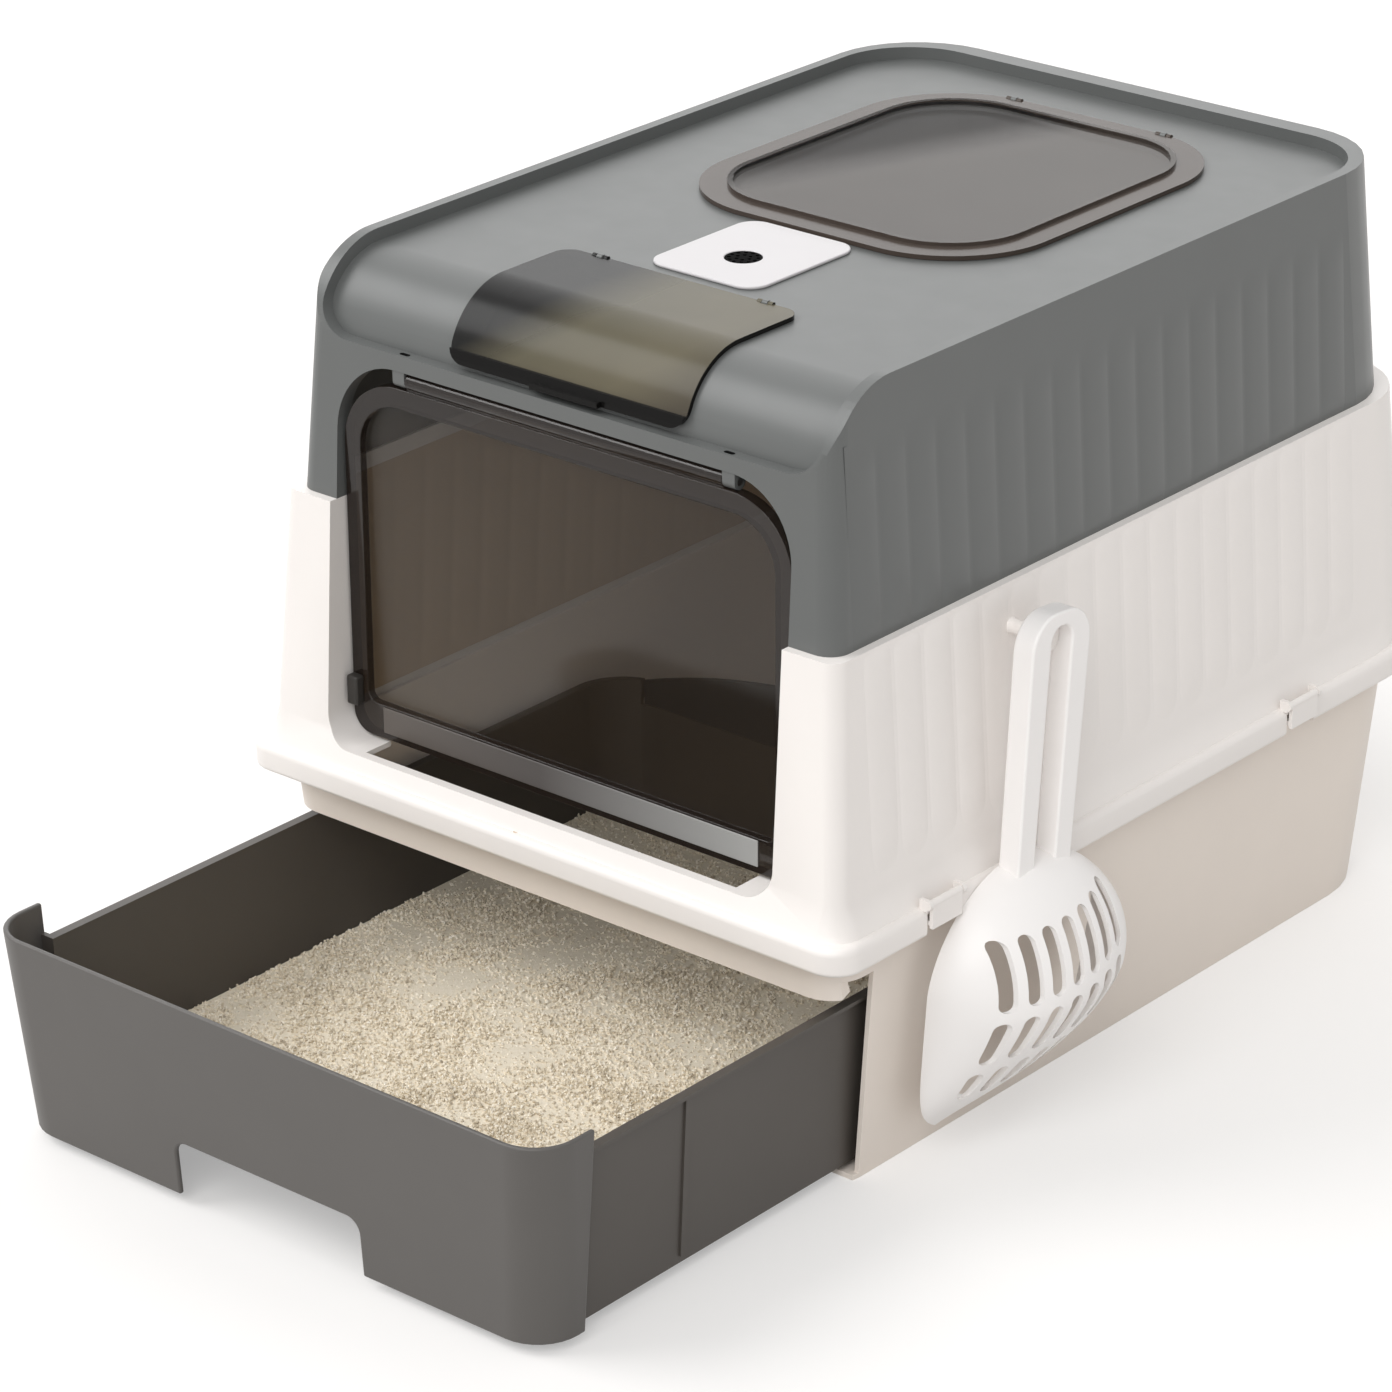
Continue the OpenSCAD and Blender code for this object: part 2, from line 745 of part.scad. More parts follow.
module skylight_pins() color("#c9c9c9") {
    for (x = [-lid_ear_x, lid_ear_x])
        cyl_x(hinge_pin_r, x - ear_reach, x + ear_reach, lid_axis_y, hinge_z);
}

// Curved flap that follows the brow down to the ledge
module top_flap() color(smoke_plastic) {
    inner_r = brow_r - panel_recess + gap;
    flap_foot = ledge_z + 3.5;
    half = flap_w / 2;
    difference() {
        union() {
            across(-half, half) difference() {
                union() {
                    translate([brow_y, brow_z]) circle(inner_r + clear_t, $fn = 96);
                    translate([brow_y, brow_z]) square([flap_hinge_y - brow_y, inner_r + clear_t]);
                }
                translate([brow_y, brow_z]) circle(inner_r, $fn = 96);
                translate([brow_y, 0]) square([big, brow_z + inner_r]);
                translate([-big, 0]) square([2 * big, flap_foot]);
            }
            // thicker rim along the front edge
            across(-half, half) intersection() {
                difference() {
                    translate([brow_y, brow_z]) circle(inner_r + clear_t + 1.5, $fn = 96);
                    translate([brow_y, brow_z]) circle(inner_r + 1, $fn = 96);
                }
                translate([-big, flap_foot]) square([big + brow_y - 20, 7]);
            }
            // finger tab
            block(-20, 25, brow_y - inner_r - 6.5, brow_y - inner_r - 0.2, flap_foot, flap_foot + 3);
            knuckles(flap_ear_x, flap_hinge_y);
        }
        ear_notches(flap_ear_x, flap_hinge_y);
        knuckle_bores(flap_ear_x, flap_hinge_y);
    }
}

module flap_pin() color("#c9c9c9") {
    for (x = [-flap_ear_x, flap_ear_x])
        cyl_x(hinge_pin_r, x - ear_reach, x + ear_reach, flap_hinge_y, hinge_z);
}

// -------------------------------------------------------------- front door

module front_door() color(smoke_plastic) {
    flank = 6;
    difference() {
        union() {
            upright(2 * door_hw, door_foot, door_head, door_foot_r, door_top_r,
                    door_front_y, door_back_y);
            // leaf between the lugs, rounded about the axle
            cyl_x(leaf_r, -lug_x + lug_w / 2 + gap, lug_x - lug_w / 2 - gap, door_y, door_axle_z);
            block(-lug_x + lug_w / 2 + gap, lug_x - lug_w / 2 - gap, door_y - 3, door_y + 3,
                  door_head - 1, door_axle_z);
        }
        // pocket that leaves the rim standing proud of the panel
        upright(2 * (door_hw - door_rim_w), door_foot + door_bar_h, door_head - door_rim_w,
                flank, door_top_r - door_rim_w, door_front_y - 1, door_back_y - door_panel_t);
        cyl_x(door_axle_r, -lug_x, lug_x, door_y, door_axle_z);
    }
}

// Pale closing strip along the foot of the door
module door_strip() color("#8f908c") {
    half = door_hw - strip_in;
    foot = door_foot + strip_up;
    block(-half, half, door_front_y - strip_t, door_front_y, foot, foot + strip_h);
}

// Finger catches on the door's rim
module door_catches() color("#3a3836") {
    for (side = [0, 1]) mirror([side, 0, 0])
        block(door_hw - catch_w - 0.5, door_hw - 0.5, door_front_y - catch_t, door_front_y,
              door_foot + catch_h, door_foot + 2 * catch_h);
}

module door_axle() color("#c9c9c9") {
    reach = lug_x + lug_w / 2;
    cyl_x(door_axle_r, -reach, reach, door_y, door_axle_z);
}

// ------------------------------------------------------------------ drawer

module drawer_front() color(dark_plastic) {
    difference() {
        translate([0, drawer_mid_y, 0])
            drafted(drawer_w, drawer_l, drawer_r, drawer_r, drawer_top, drawer_foot, drawer_top,
                    -base_draft);
        translate([0, drawer_mid_y, 0])
            drafted(drawer_w - 2 * wall, drawer_l - 2 * wall, drawer_r - wall, drawer_r - wall,
                    drawer_top, drawer_foot - 1, drawer_top + 1, -base_draft);
        block(-big, big, return_y, big, -1, big);
        // grip notch
        upright(notch_w, drawer_foot - 20, notch_top, 1, 8, -2 * big, drawer_mid_y);
    }
}

// Finger ramp in the tray's floor, behind the grip notch
module ramp_side(lift) {
    polygon([[tray_front_y - 1, tray_foot - 1], [ramp_y + lift, tray_foot - 1],
             [ramp_y + lift, tray_foot], [tray_front_y, notch_top + lift],
             [tray_front_y - 1, notch_top + lift]]);
}

// Inner faces of the drawer's front and of its returns, at height z
function front_inner_y(z) = drawer_front_y + base_draft * (drawer_top - z) + wall;
function return_inner_x(z) = drawer_w / 2 - base_draft * (drawer_top - z) - wall;

// Web that joins the tray's side wall to the inside of the front's return
module return_web() {
    low = tray_foot + 1;
    translate([0, return_y, 0]) rotate([90, 0, 0]) linear_extrude(3)
        polygon([[tray_half(low) - 1, low], [return_inner_x(low) + press, low],
                 [return_inner_x(tray_top) + press, tray_top],
                 [tray_half(tray_top) - 1, tray_top]]);
}

// Upright rib on the outside of the tray's wall
module side_rib() {
    low = tray_foot + 4;
    high = tray_top - 1;
    translate([0, rib_y, 0]) rotate([90, 0, 0]) linear_extrude(rib_w)
        polygon([[tray_half(low) - 1, low], [tray_half(low) + rib_t, low],
                 [tray_half(high) + rib_t, high], [tray_half(high) - 1, high]]);
}

module drawer_tray() color("#5b5853") {
    post_top = tray_foot + 20;
    difference() {
        union() {
            difference() {
                translate([0, tray_mid_y, 0])
                    drafted(tray_w, tray_l, tray_front_r, tray_rear_r, tray_top, tray_foot,
                            tray_top, -tray_draft);
                translate([0, tray_mid_y, 0])
                    drafted(tray_w - 2 * tray_t, tray_l - 2 * tray_t, tray_front_r - tray_t,
                            tray_rear_r - tray_t, tray_top, tray_foot + tray_t, tray_top + 1,
                            -tray_draft);
            }
            // rolled lip
            translate([0, tray_mid_y, tray_top - 2]) linear_extrude(2) difference() {
                plan(tray_w + 2 * lip_w, tray_l, tray_front_r + lip_w, tray_rear_r + lip_w);
                plan(tray_w - 2 * tray_t, tray_l - 2 * tray_t, tray_front_r, tray_rear_r);
            }
            intersection() {
                across(-ramp_w / 2 - tray_t, ramp_w / 2 + tray_t) ramp_side(tray_t + 1);
                block(-big, big, tray_front_y, big, tray_foot, big);
            }
            // tabs that meet the tub's stops
            for (side = [0, 1]) mirror([side, 0, 0])
                block(tray_half(stop_z) - 1, tray_stop_x(), stop_y, stop_y + stop_w,
                      stop_z, stop_z + stop_h);
            for (side = [0, 1]) mirror([side, 0, 0]) return_web();
            // snap posts into the drawer's front
            for (side = [-1, 1], x = [tray_w / 2 - post_in, tray_w / 2 - post_in - post_step])
                block(side * x - 5, side * x + 5, front_inner_y(tray_foot) - press,
                      tray_front_y + tray_draft * (tray_top - tray_foot) + 1,
                      tray_foot + 2, post_top);
            for (side = [0, 1]) mirror([side, 0, 0]) side_rib();
        }
        across(-ramp_w / 2, ramp_w / 2) ramp_side(0);
        // the front's returns take over from the tray's walls
        block(-big, big, -2 * big, return_y - 3, notch_top + tray_t + 1, big);
        // seat of the rear guard
        block(-guard_w / 2, guard_w / 2, drawer_rear_y - guard_seat, big, guard_z, big);
    }
}

module drawer_guard() color("#45413c") {
    translate([0, drawer_rear_y - 1.1, 0]) rotate([90, 0, 0]) linear_extrude(tray_t)
        intersection() {
            translate([-guard_w / 2 + 0.5, guard_z]) square([guard_w - 1, guard_top]);
            translate([0, guard_top - guard_r]) circle(guard_r, $fn = 360);
        }
}

module drawer_glides() color("#d8d8d4") {
    for (side = [-1, 1])
        block(side * glide_x - glide_w / 2, side * glide_x + glide_w / 2, ramp_y + glide_front,
              drawer_rear_y - glide_rear, floor_t + 0.2, tray_foot);
}

module litter_fill() color("#cdc1ab") {
    inset = tray_t + gap;
    difference() {
        translate([0, tray_mid_y, 0])
            drafted(tray_w - 2 * inset, tray_l - 2 * inset, tray_front_r - inset,
                    tray_rear_r - inset, tray_top, tray_foot + tray_t, litter_z, -tray_draft);
        across(-ramp_w / 2 - tray_t - gap, ramp_w / 2 + tray_t + gap)
            ramp_side(tray_t + 1 + gap);
    }
}

// ------------------------------------------------------------------- scoop

// Boss on the frame's side that the scoop hangs from and swings about
module scoop_hook() color(white_plastic) {
    wall_x = mid_half(hang_z) - 1.5;
    cyl_x(handle_slot_w / 2 - run_fit, wall_x, scoop_x + 5, peg_y, hang_z);
}

// The scoop is drawn upright about its hanging point, then leaned along the side
module scoop() color(white_plastic) {
    translate([scoop_x, peg_y, hang_z]) rotate([scoop_lean, 0, 0]) {
        difference() {
            union() {
                scoop_handle();
                scoop_bowl();
            }
            // hanging slot
            across(-1, handle_t + 1) {
                circle(handle_slot_w / 2);
                translate([-handle_slot_w / 2, -handle_slot_l])
                    square([handle_slot_w, handle_slot_l]);
            }
        }
    }
}

module scoop_handle() {
    top = scoop_top - hang_z;
    across(0, handle_t) hull() {
        for (side = [-1, 1]) {
            translate([side * (handle_w / 2 - 14), top - 14]) circle(14, $fn = hull_fn);
            translate([side * (handle_w / 2 - 4), handle_foot]) circle(2, $fn = hull_fn);
        }
    }
}

module scoop_bowl() {
    centre_x = bowl_x - scoop_x;
    centre_z = bowl_z - hang_z;
    difference() {
        intersection() {
            translate([centre_x, 0, centre_z]) sphere(r = bowl_r, $fn = 64);
            bowl_reach();
        }
        difference() {
            translate([centre_x, 0, centre_z]) sphere(r = bowl_r - bowl_t, $fn = 64);
            block(-big, big, -big, big, handle_foot + 2, big);
        }
        bowl_slots(centre_z);
    }
}

// Space that the bowl fills: in front of its sloping mouth and below the handle
module bowl_reach() {
    foot = bowl_z - hang_z - bowl_r - 1;
    translate([0, bowl_r + 1, 0]) rotate([90, 0, 0]) linear_extrude(2 * bowl_r + 2)
        polygon([[1.5, bowl_brow], [big, bowl_brow], [big, foot], [-bowl_drop, foot]]);
}

// Three rows of slots, each row rising towards the back
module bowl_slots(centre_z) {
    for (k = [0 : slot_count - 1]) {
        y = slot_start_y + k * (bowl_slot_w + slot_rib);
        bowl_slot(y, centre_z - 5.5 + 2.7 * k, centre_z + 31 + 2.2 * k);
        bowl_slot(y, centre_z - 37 + 2 * k, centre_z - 9.5 + 2.6 * k);
        bowl_slot(y, centre_z - 54 + 1.5 * k, centre_z - 41 + 1.9 * k);
    }
}

module bowl_slot(y, z0, z1) {
    block(-bowl_drop - 2, big, y, y + bowl_slot_w, z0, z1);
}

base_tub();
grip_pads();
mid_frame();
clip_pins();
scoop_hook();
hood();
filter_cover();
vent_grille();
filter_basket();
filter_pad();
skylight_pins();
flap_pin();
drawer_tray();
drawer_front();
drawer_guard();
drawer_glides();
litter_fill();
front_door();
door_strip();
door_catches();
door_axle();
skylight_lid();
top_flap();
clip_right_front();
clip_right_rear();
clip_left_front();
clip_left_rear();
scoop();
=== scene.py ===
# %% [markdown]
# # A drawer litter box, dressed piece by piece
# The box is a stack of four injection mouldings: a cream tub, a white middle
# frame with the doorway, a grey hood, and a grey drawer that pulls out below the
# sill. The solids come from the CAD frame. This lesson gives them soft edges,
# fluted walls, see-through sheets, granules and real-looking plastics.

# %% Load the frame
import math

import bmesh
import bpy
from mathutils import Matrix, Vector


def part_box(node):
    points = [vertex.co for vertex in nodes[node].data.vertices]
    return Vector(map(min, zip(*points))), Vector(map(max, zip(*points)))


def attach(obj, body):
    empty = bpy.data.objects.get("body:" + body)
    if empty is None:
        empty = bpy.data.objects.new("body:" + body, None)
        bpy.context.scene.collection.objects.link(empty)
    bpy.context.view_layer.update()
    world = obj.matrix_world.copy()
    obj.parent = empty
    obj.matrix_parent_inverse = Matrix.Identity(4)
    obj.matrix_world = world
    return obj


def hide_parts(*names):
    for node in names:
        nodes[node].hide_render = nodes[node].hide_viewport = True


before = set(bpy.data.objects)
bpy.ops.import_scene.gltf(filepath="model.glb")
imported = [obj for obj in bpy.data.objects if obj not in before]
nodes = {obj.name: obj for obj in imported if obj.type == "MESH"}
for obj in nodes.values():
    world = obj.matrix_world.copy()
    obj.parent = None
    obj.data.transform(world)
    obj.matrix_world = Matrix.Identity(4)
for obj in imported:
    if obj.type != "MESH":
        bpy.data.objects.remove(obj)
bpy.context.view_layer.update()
MM = 0.001
WELD = 0.02 * MM
print("CAD nodes:", len(nodes))

# %% [markdown]
# ## Small tools
# Colours are written as sRGB hex, the way a paint chart gives them, and one
# function turns them to the linear values that the shader expects. One helper
# adds a shader or geometry node with its settings and its links, so that each
# material below reads as a list of what it is made of. Patterns lie on Object
# coordinates, which are metres, so a noise gets one over its real size as scale.

# %% Colour and node helpers
def linear(hex_colour, alpha=1.0):
    """Linear RGBA of an sRGB hex colour."""
    parts = [int(hex_colour[i:i + 2], 16) / 255 for i in (1, 3, 5)]
    return [c / 12.92 if c <= 0.04045 else ((c + 0.055) / 1.055) ** 2.4 for c in parts] + [alpha]


def add(tree, kind, inputs=None, **settings):
    """Adds a node. A value in inputs that is a socket is linked, any other is set."""
    made = tree.nodes.new(kind)
    for key, value in settings.items():
        setattr(made, key, value)
    for key, value in (inputs or {}).items():
        if isinstance(value, bpy.types.NodeSocket):
            tree.links.new(value, made.inputs[key])
        else:
            made.inputs[key].default_value = value
    return made


def ramp(tree, share, stops):
    """Colour ramp through (place, hex) stops, read at share from 0 to 1."""
    made = add(tree, "ShaderNodeValToRGB", {"Fac": share})
    while len(made.color_ramp.elements) < len(stops):
        made.color_ramp.elements.new(0.5)
    for stop, (place, colour) in zip(made.color_ramp.elements, stops):
        stop.position = place
        stop.color = linear(colour)
    return made.outputs["Color"]


def blank_material(name):
    """A material with an empty node tree, its tree, and its Object coordinates."""
    mat = bpy.data.materials.new(name)
    mat.use_nodes = True
    mat.node_tree.nodes.clear()
    return mat, mat.node_tree, add(mat.node_tree, "ShaderNodeTexCoord").outputs["Object"]


def wandering(tree, place, size_mm, low, high, detail=2.0, roughness=0.5):
    """A number that wanders between low and high over patches of size_mm."""
    patches = add(tree, "ShaderNodeTexNoise", {"Vector": place, "Scale": 1 / (size_mm * MM),
                                               "Detail": detail, "Roughness": roughness})
    return add(tree, "ShaderNodeMapRange",
               {"Value": patches.outputs["Fac"], "From Min": 0.3, "From Max": 0.7,
                "To Min": low, "To Max": high}).outputs["Result"]


def relief(tree, place, size_mm, depth_mm, strength, detail=2.0):
    """A normal that is roughened by grains of that size and depth."""
    grains = add(tree, "ShaderNodeTexNoise",
                 {"Vector": place, "Scale": 1 / (size_mm * MM), "Detail": detail})
    return add(tree, "ShaderNodeBump", {"Height": grains.outputs["Fac"], "Strength": strength,
                                        "Distance": depth_mm * MM}).outputs["Normal"]


print("mid grey as linear light:", [round(c, 3) for c in linear("#808080")])

# %% [markdown]
# ## Moulded polypropylene
# The tub, frame, hood, drawer and scoop are injection-moulded polypropylene. The
# steel mould is spark-eroded, which leaves a fine even grain and a satin gloss.
# Pigment and cooling leave faint clouds a few centimetres wide. A bump map from a
# fine noise gives the grain, a broad noise drifts the tone, and a third one
# drifts the roughness, so that no highlight is perfectly even.

# %% Polypropylene
def moulded_polypropylene(name, colour, roughness=0.5, grain=0.03, cloud=0.015, shine=0.5):
    """Satin moulded plastic. The real grain is about 0.1 mm; it is drawn at 0.9 mm to show."""
    mat, tree, place = blank_material(name)
    tone = wandering(tree, place, 45, 1 - cloud, 1 + cloud, 3.0, 0.55)
    tint = add(tree, "ShaderNodeHueSaturation", {"Value": tone, "Color": linear(colour)})
    rough = wandering(tree, place, 22, roughness - 0.015, roughness + 0.015)
    skin = add(tree, "ShaderNodeBsdfPrincipled",
               {"Base Color": tint.outputs["Color"], "Roughness": rough, "IOR": 1.49,
                "Specular IOR Level": shine, "Normal": relief(tree, place, 0.9, 0.4, grain)})
    add(tree, "ShaderNodeOutputMaterial", {"Surface": skin.outputs["BSDF"]})
    return mat


grey_pp = moulded_polypropylene("moulded_polypropylene_grey", "#616362", 0.38)
white_pp = moulded_polypropylene("moulded_polypropylene_white", "#f2ede9", 0.42, 0.06, 0.008)
# painted shade: a darker, browner copy of the frame's white for the cabin's inner walls and the
# gate mark
shaded_lining_pp = moulded_polypropylene("moulded_polypropylene_inner_wall", "#cdb9a2", 0.5, 0.06)
plate_pp = moulded_polypropylene("moulded_polypropylene_filter_plate", "#d0cdce",
                                 0.42, 0.06, 0.008)
scoop_pp = moulded_polypropylene("moulded_polypropylene_scoop", "#fbf8f6", 0.36, 0.05, 0.008)
cream_pp = moulded_polypropylene("moulded_polypropylene_cream", "#f1e7dd", 0.48, 0.08, 0.01)
drawer_pp = moulded_polypropylene("moulded_polypropylene_drawer_grey", "#595653", 0.46)
# painted shade: the tray is a darker copy of the drawer's grey, standing for the shade on its sides
tray_shaded_pp = moulded_polypropylene("moulded_polypropylene_tray", "#4d4843", 0.46)
guard_pp = moulded_polypropylene("moulded_polypropylene_guard", "#2d2f32", 0.5)
catch_pp = moulded_polypropylene("moulded_polypropylene_catch", "#35322f", 0.5)
black_pp = moulded_polypropylene("moulded_polypropylene_black", "#060606", 0.8, shine=0.05)
glide_acetal = moulded_polypropylene("moulded_acetal_glide", "#d8d8d4", 0.35)
print("moulded finishes: 12")

# %% [markdown]
# ## Smoked clear sheet
# The door, the skylight and the front flap are moulded in a clear styrene with a
# smoke dye. What the eye gets is mostly a dark filter with sharp highlights on
# rolled edges. Each surface is drawn as a thin dark coat that lets part of the
# light through: the alpha says how much it holds back, and at a flat angle the
# sheet turns more solid, as real clear plastic does. The rolled rims are thicker,
# so they get a denser finish of their own. On the lid and the flap the tone runs
# from dark on one side to pale or amber on the other. That run is a painted
# reflection: the dark side stands where the real sheets mirror nothing bright,
# and there the lid also holds back less, so the dark cabin shows through. The
# flap's amber is its own tint.

# %% Smoked styrene
def smoked_styrene(name, stops, cover, edge_cover, roughness=0.08, shine=0.5,
                   across=(1, 0, 0), span=(0, 1), dim_end_cover=1.0):
    """Clear dyed plastic. cover is what one surface holds back, seen square on.

    The tone runs through stops along the direction across, between the two
    places in span, in metres; on the lid and the flap that run is a painted
    reflection, dark where the real sheet mirrors nothing bright. The last argument
    is the share of the cover that is left at the low end of the span: painted as
    well, it lets the dark inside show there and dims the gloss.
    """
    mat, tree, place = blank_material(name)
    tone = wandering(tree, place, 60, 0.93, 1.07)
    along = add(tree, "ShaderNodeVectorMath", {0: place, 1: across}, operation="DOT_PRODUCT")
    share = add(tree, "ShaderNodeMapRange",
                {"Value": along.outputs["Value"], "From Min": span[0], "From Max": span[1]})
    tint = add(tree, "ShaderNodeHueSaturation",
               {"Value": tone, "Color": ramp(tree, share.outputs["Result"], stops)})
    slant = add(tree, "ShaderNodeLayerWeight", {"Blend": 0.35})
    solid = add(tree, "ShaderNodeMapRange",
                {"Value": slant.outputs["Facing"], "From Min": 0.35, "From Max": 1.0,
                 "To Min": cover, "To Max": edge_cover})
    # painted reflection: the cover drops at the low end of the span, so the inside shows and the
    # gloss fades there
    reflection_gap = add(tree, "ShaderNodeMapRange",
               {"Value": share.outputs["Result"], "From Min": 0.26, "From Max": 0.44,
                "To Min": dim_end_cover, "To Max": 1.0})
    held = add(tree, "ShaderNodeMath",
               {0: solid.outputs["Result"], 1: reflection_gap.outputs["Result"]}, operation="MULTIPLY")
    skin = add(tree, "ShaderNodeBsdfPrincipled",
               {"Base Color": tint.outputs["Color"], "Roughness": roughness, "IOR": 1.59,
                "Specular IOR Level": shine, "Alpha": held.outputs["Value"],
                "Normal": relief(tree, place, 30, 0.8, 0.1, 1.0)})
    add(tree, "ShaderNodeOutputMaterial", {"Surface": skin.outputs["BSDF"]})
    return mat


def one_tone(colour):
    """Stops of a dye that is the same all over."""
    return [(0.0, colour), (1.0, colour)]


door_styrene = smoked_styrene("smoked_styrene_door", one_tone("#362d24"), 0.26, 0.80)
door_rim_styrene = smoked_styrene("smoked_styrene_rolled_rim", one_tone("#241d19"),
                                  0.86, 0.96, 0.1, 0.35)
# the lid's tone run is a painted reflection: dark brown at the left rear, paler grey-brown where
# the real sheet mirrors a bright surround
LID_PAINTED_REFLECTION = [(0.0, "#1a120d"), (0.28, "#261b15"), (0.46, "#473f39"), (1.0, "#4e4742")]
lid_styrene = smoked_styrene("smoked_styrene_skylight", LID_PAINTED_REFLECTION, 0.60, 0.86, 0.1, 0.2,
                             across=(1, -0.4, 0), span=(-0.15, 0.07), dim_end_cover=0.38)
lid_rim_styrene = smoked_styrene("smoked_styrene_skylight_rim", one_tone("#4b423c"),
                                 0.94, 0.98, 0.2, 0.15)
# the flap's amber is its own tint; the dark band on its left is a painted reflection
FLAP_TINT_AND_PAINTED_REFLECTION = [(0.0, "#151515"), (0.24, "#1e1e1d"), (0.41, "#605b4b"), (0.7, "#676150"),
            (1.0, "#47413a")]
flap_styrene = smoked_styrene("smoked_styrene_flap_amber", FLAP_TINT_AND_PAINTED_REFLECTION, 0.85, 0.95, 0.24, 0.14,
                              across=(1, 0, -1.5), span=(-0.7145, -0.4965))
flap_rim_styrene = smoked_styrene("smoked_styrene_flap_rim", one_tone("#121110"),
                                  0.94, 0.98, 0.2, 0.1)
print("smoked sheets: 6")

# %% [markdown]
# ## Steel, felt, rubber and litter
# The small parts have their own stuff: drawn steel wire for the pins, carbon felt
# in the filter, anti-slip rubber under the tub and crushed clay in the drawer.
# Clay granules differ from one to the next, so their colour comes from a random
# value that the granule itself carries.

# %% Other finishes
# painted reflection: the strip's tone runs from dark at the left to pale at the right
STRIP_PAINTED_REFLECTION = [(0.0, "#5d5650"), (0.45, "#55514f"), (1.0, "#a3a3a1")]
STRIP_SPAN = (-0.13, 0.12)  # metres


def graded_strip(name):
    """The door's closing strip; its tone is a painted reflection: pale at the right end, darker
    from its middle to its left end.
    """
    mat = moulded_polypropylene(name, "#8d8c89", 0.4)
    tree = mat.node_tree
    place = add(tree, "ShaderNodeSeparateXYZ",
                {0: add(tree, "ShaderNodeTexCoord").outputs["Object"]}).outputs["X"]
    share = add(tree, "ShaderNodeMapRange",
                {"Value": place, "From Min": STRIP_SPAN[0], "From Max": STRIP_SPAN[1]})
    skin = next(n for n in tree.nodes if n.type == "BSDF_PRINCIPLED")
    tree.links.new(ramp(tree, share.outputs["Result"], STRIP_PAINTED_REFLECTION), skin.inputs["Base Color"])
    return mat


def drawn_steel(name):
    """Wire drawn through a die: fine lines along the pin, drawn 0.3 mm apart to show."""
    mat, tree, place = blank_material(name)
    along = add(tree, "ShaderNodeMapping", {"Vector": place, "Scale": (40, 3000, 3000)})
    lines = add(tree, "ShaderNodeTexNoise", {"Vector": along.outputs["Vector"], "Scale": 1.0})
    scored = add(tree, "ShaderNodeBump",
                 {"Height": lines.outputs["Fac"], "Strength": 0.2, "Distance": 0.1 * MM})
    skin = add(tree, "ShaderNodeBsdfPrincipled",
               {"Base Color": linear("#b9bbbd"), "Metallic": 1.0, "Roughness": 0.3,
                "Normal": scored.outputs["Normal"]})
    add(tree, "ShaderNodeOutputMaterial", {"Surface": skin.outputs["BSDF"]})
    return mat


def rough_stuff(name, colour, pale, grain_mm, relief_mm):
    """Felt or rubber: two tones mottled at grain_mm, with relief to match."""
    mat, tree, place = blank_material(name)
    mottle = add(tree, "ShaderNodeTexNoise",
                 {"Vector": place, "Scale": 1 / (grain_mm * MM), "Detail": 4.0, "Roughness": 0.7})
    tint = add(tree, "ShaderNodeMix",
               {0: mottle.outputs["Fac"], 6: linear(colour), 7: linear(pale)}, data_type="RGBA")
    fluffed = add(tree, "ShaderNodeBump",
                  {"Height": mottle.outputs["Fac"], "Strength": 0.6, "Distance": relief_mm * MM})
    skin = add(tree, "ShaderNodeBsdfPrincipled",
               {"Base Color": tint.outputs[2], "Roughness": 0.85,
                "Normal": fluffed.outputs["Normal"], "IOR": 1.5})
    add(tree, "ShaderNodeOutputMaterial", {"Surface": skin.outputs["BSDF"]})
    return mat


def crushed_clay(name, from_grain):
    """Clay litter. Grains take their tone from their own value, the bed from a fine noise."""
    mat, tree, place = blank_material(name)
    if from_grain:
        value = add(tree, "ShaderNodeAttribute", attribute_name="grain_tone").outputs["Fac"]
    else:
        value = add(tree, "ShaderNodeTexNoise",
                    {"Vector": place, "Scale": 1 / (2 * MM), "Detail": 3.0}).outputs["Fac"]
    tint = ramp(tree, value, [(0.0, "#bfb29e"), (0.1, "#d6c9b3"), (0.35, "#e9dec8"),
                              (0.7, "#f2e8d6"), (1.0, "#fbf4e6")])
    skin = add(tree, "ShaderNodeBsdfPrincipled",
               {"Base Color": tint, "Roughness": 0.9, "IOR": 1.45,
                "Normal": relief(tree, place, 0.8, 0.4, 0.5, 3.0)})
    add(tree, "ShaderNodeOutputMaterial", {"Surface": skin.outputs["BSDF"]})
    return mat


strip_pp = graded_strip("moulded_polypropylene_closing_strip")
pin_steel = drawn_steel("drawn_steel_pin")
carbon_felt = rough_stuff("carbon_felt", "#232323", "#454545", 1.2, 0.8)
pad_rubber = rough_stuff("anti_slip_rubber", "#3d3d3d", "#565656", 0.8, 0.2)
clay_grain = crushed_clay("crushed_clay_grain", True)
clay_bed = crushed_clay("crushed_clay_bed", False)
print("other finishes: 6")

# %% [markdown]
# ## Soft edges on moulded walls
# No moulding has a sharp edge: the mould's corners are rounded by half a
# millimetre or more, and those roundings catch the light. Each CAD piece is
# copied, its loose triangles are welded and its flat faces joined, and a Bevel
# modifier rounds whatever still turns by more than a set angle.

# %% Copy a CAD piece and round its edges
FLAT, GENTLE, TURNED = 0.4, 32, 35  # degrees: one plane, still smooth, gets a rounding


def welded(name):
    """A bmesh of a CAD node, welded, with flat faces joined."""
    bm = bmesh.new()
    bm.from_mesh(nodes[name].data)
    bmesh.ops.remove_doubles(bm, verts=bm.verts, dist=WELD)
    bmesh.ops.dissolve_limit(bm, angle_limit=math.radians(FLAT), verts=bm.verts,
                             edges=bm.edges)
    return bm


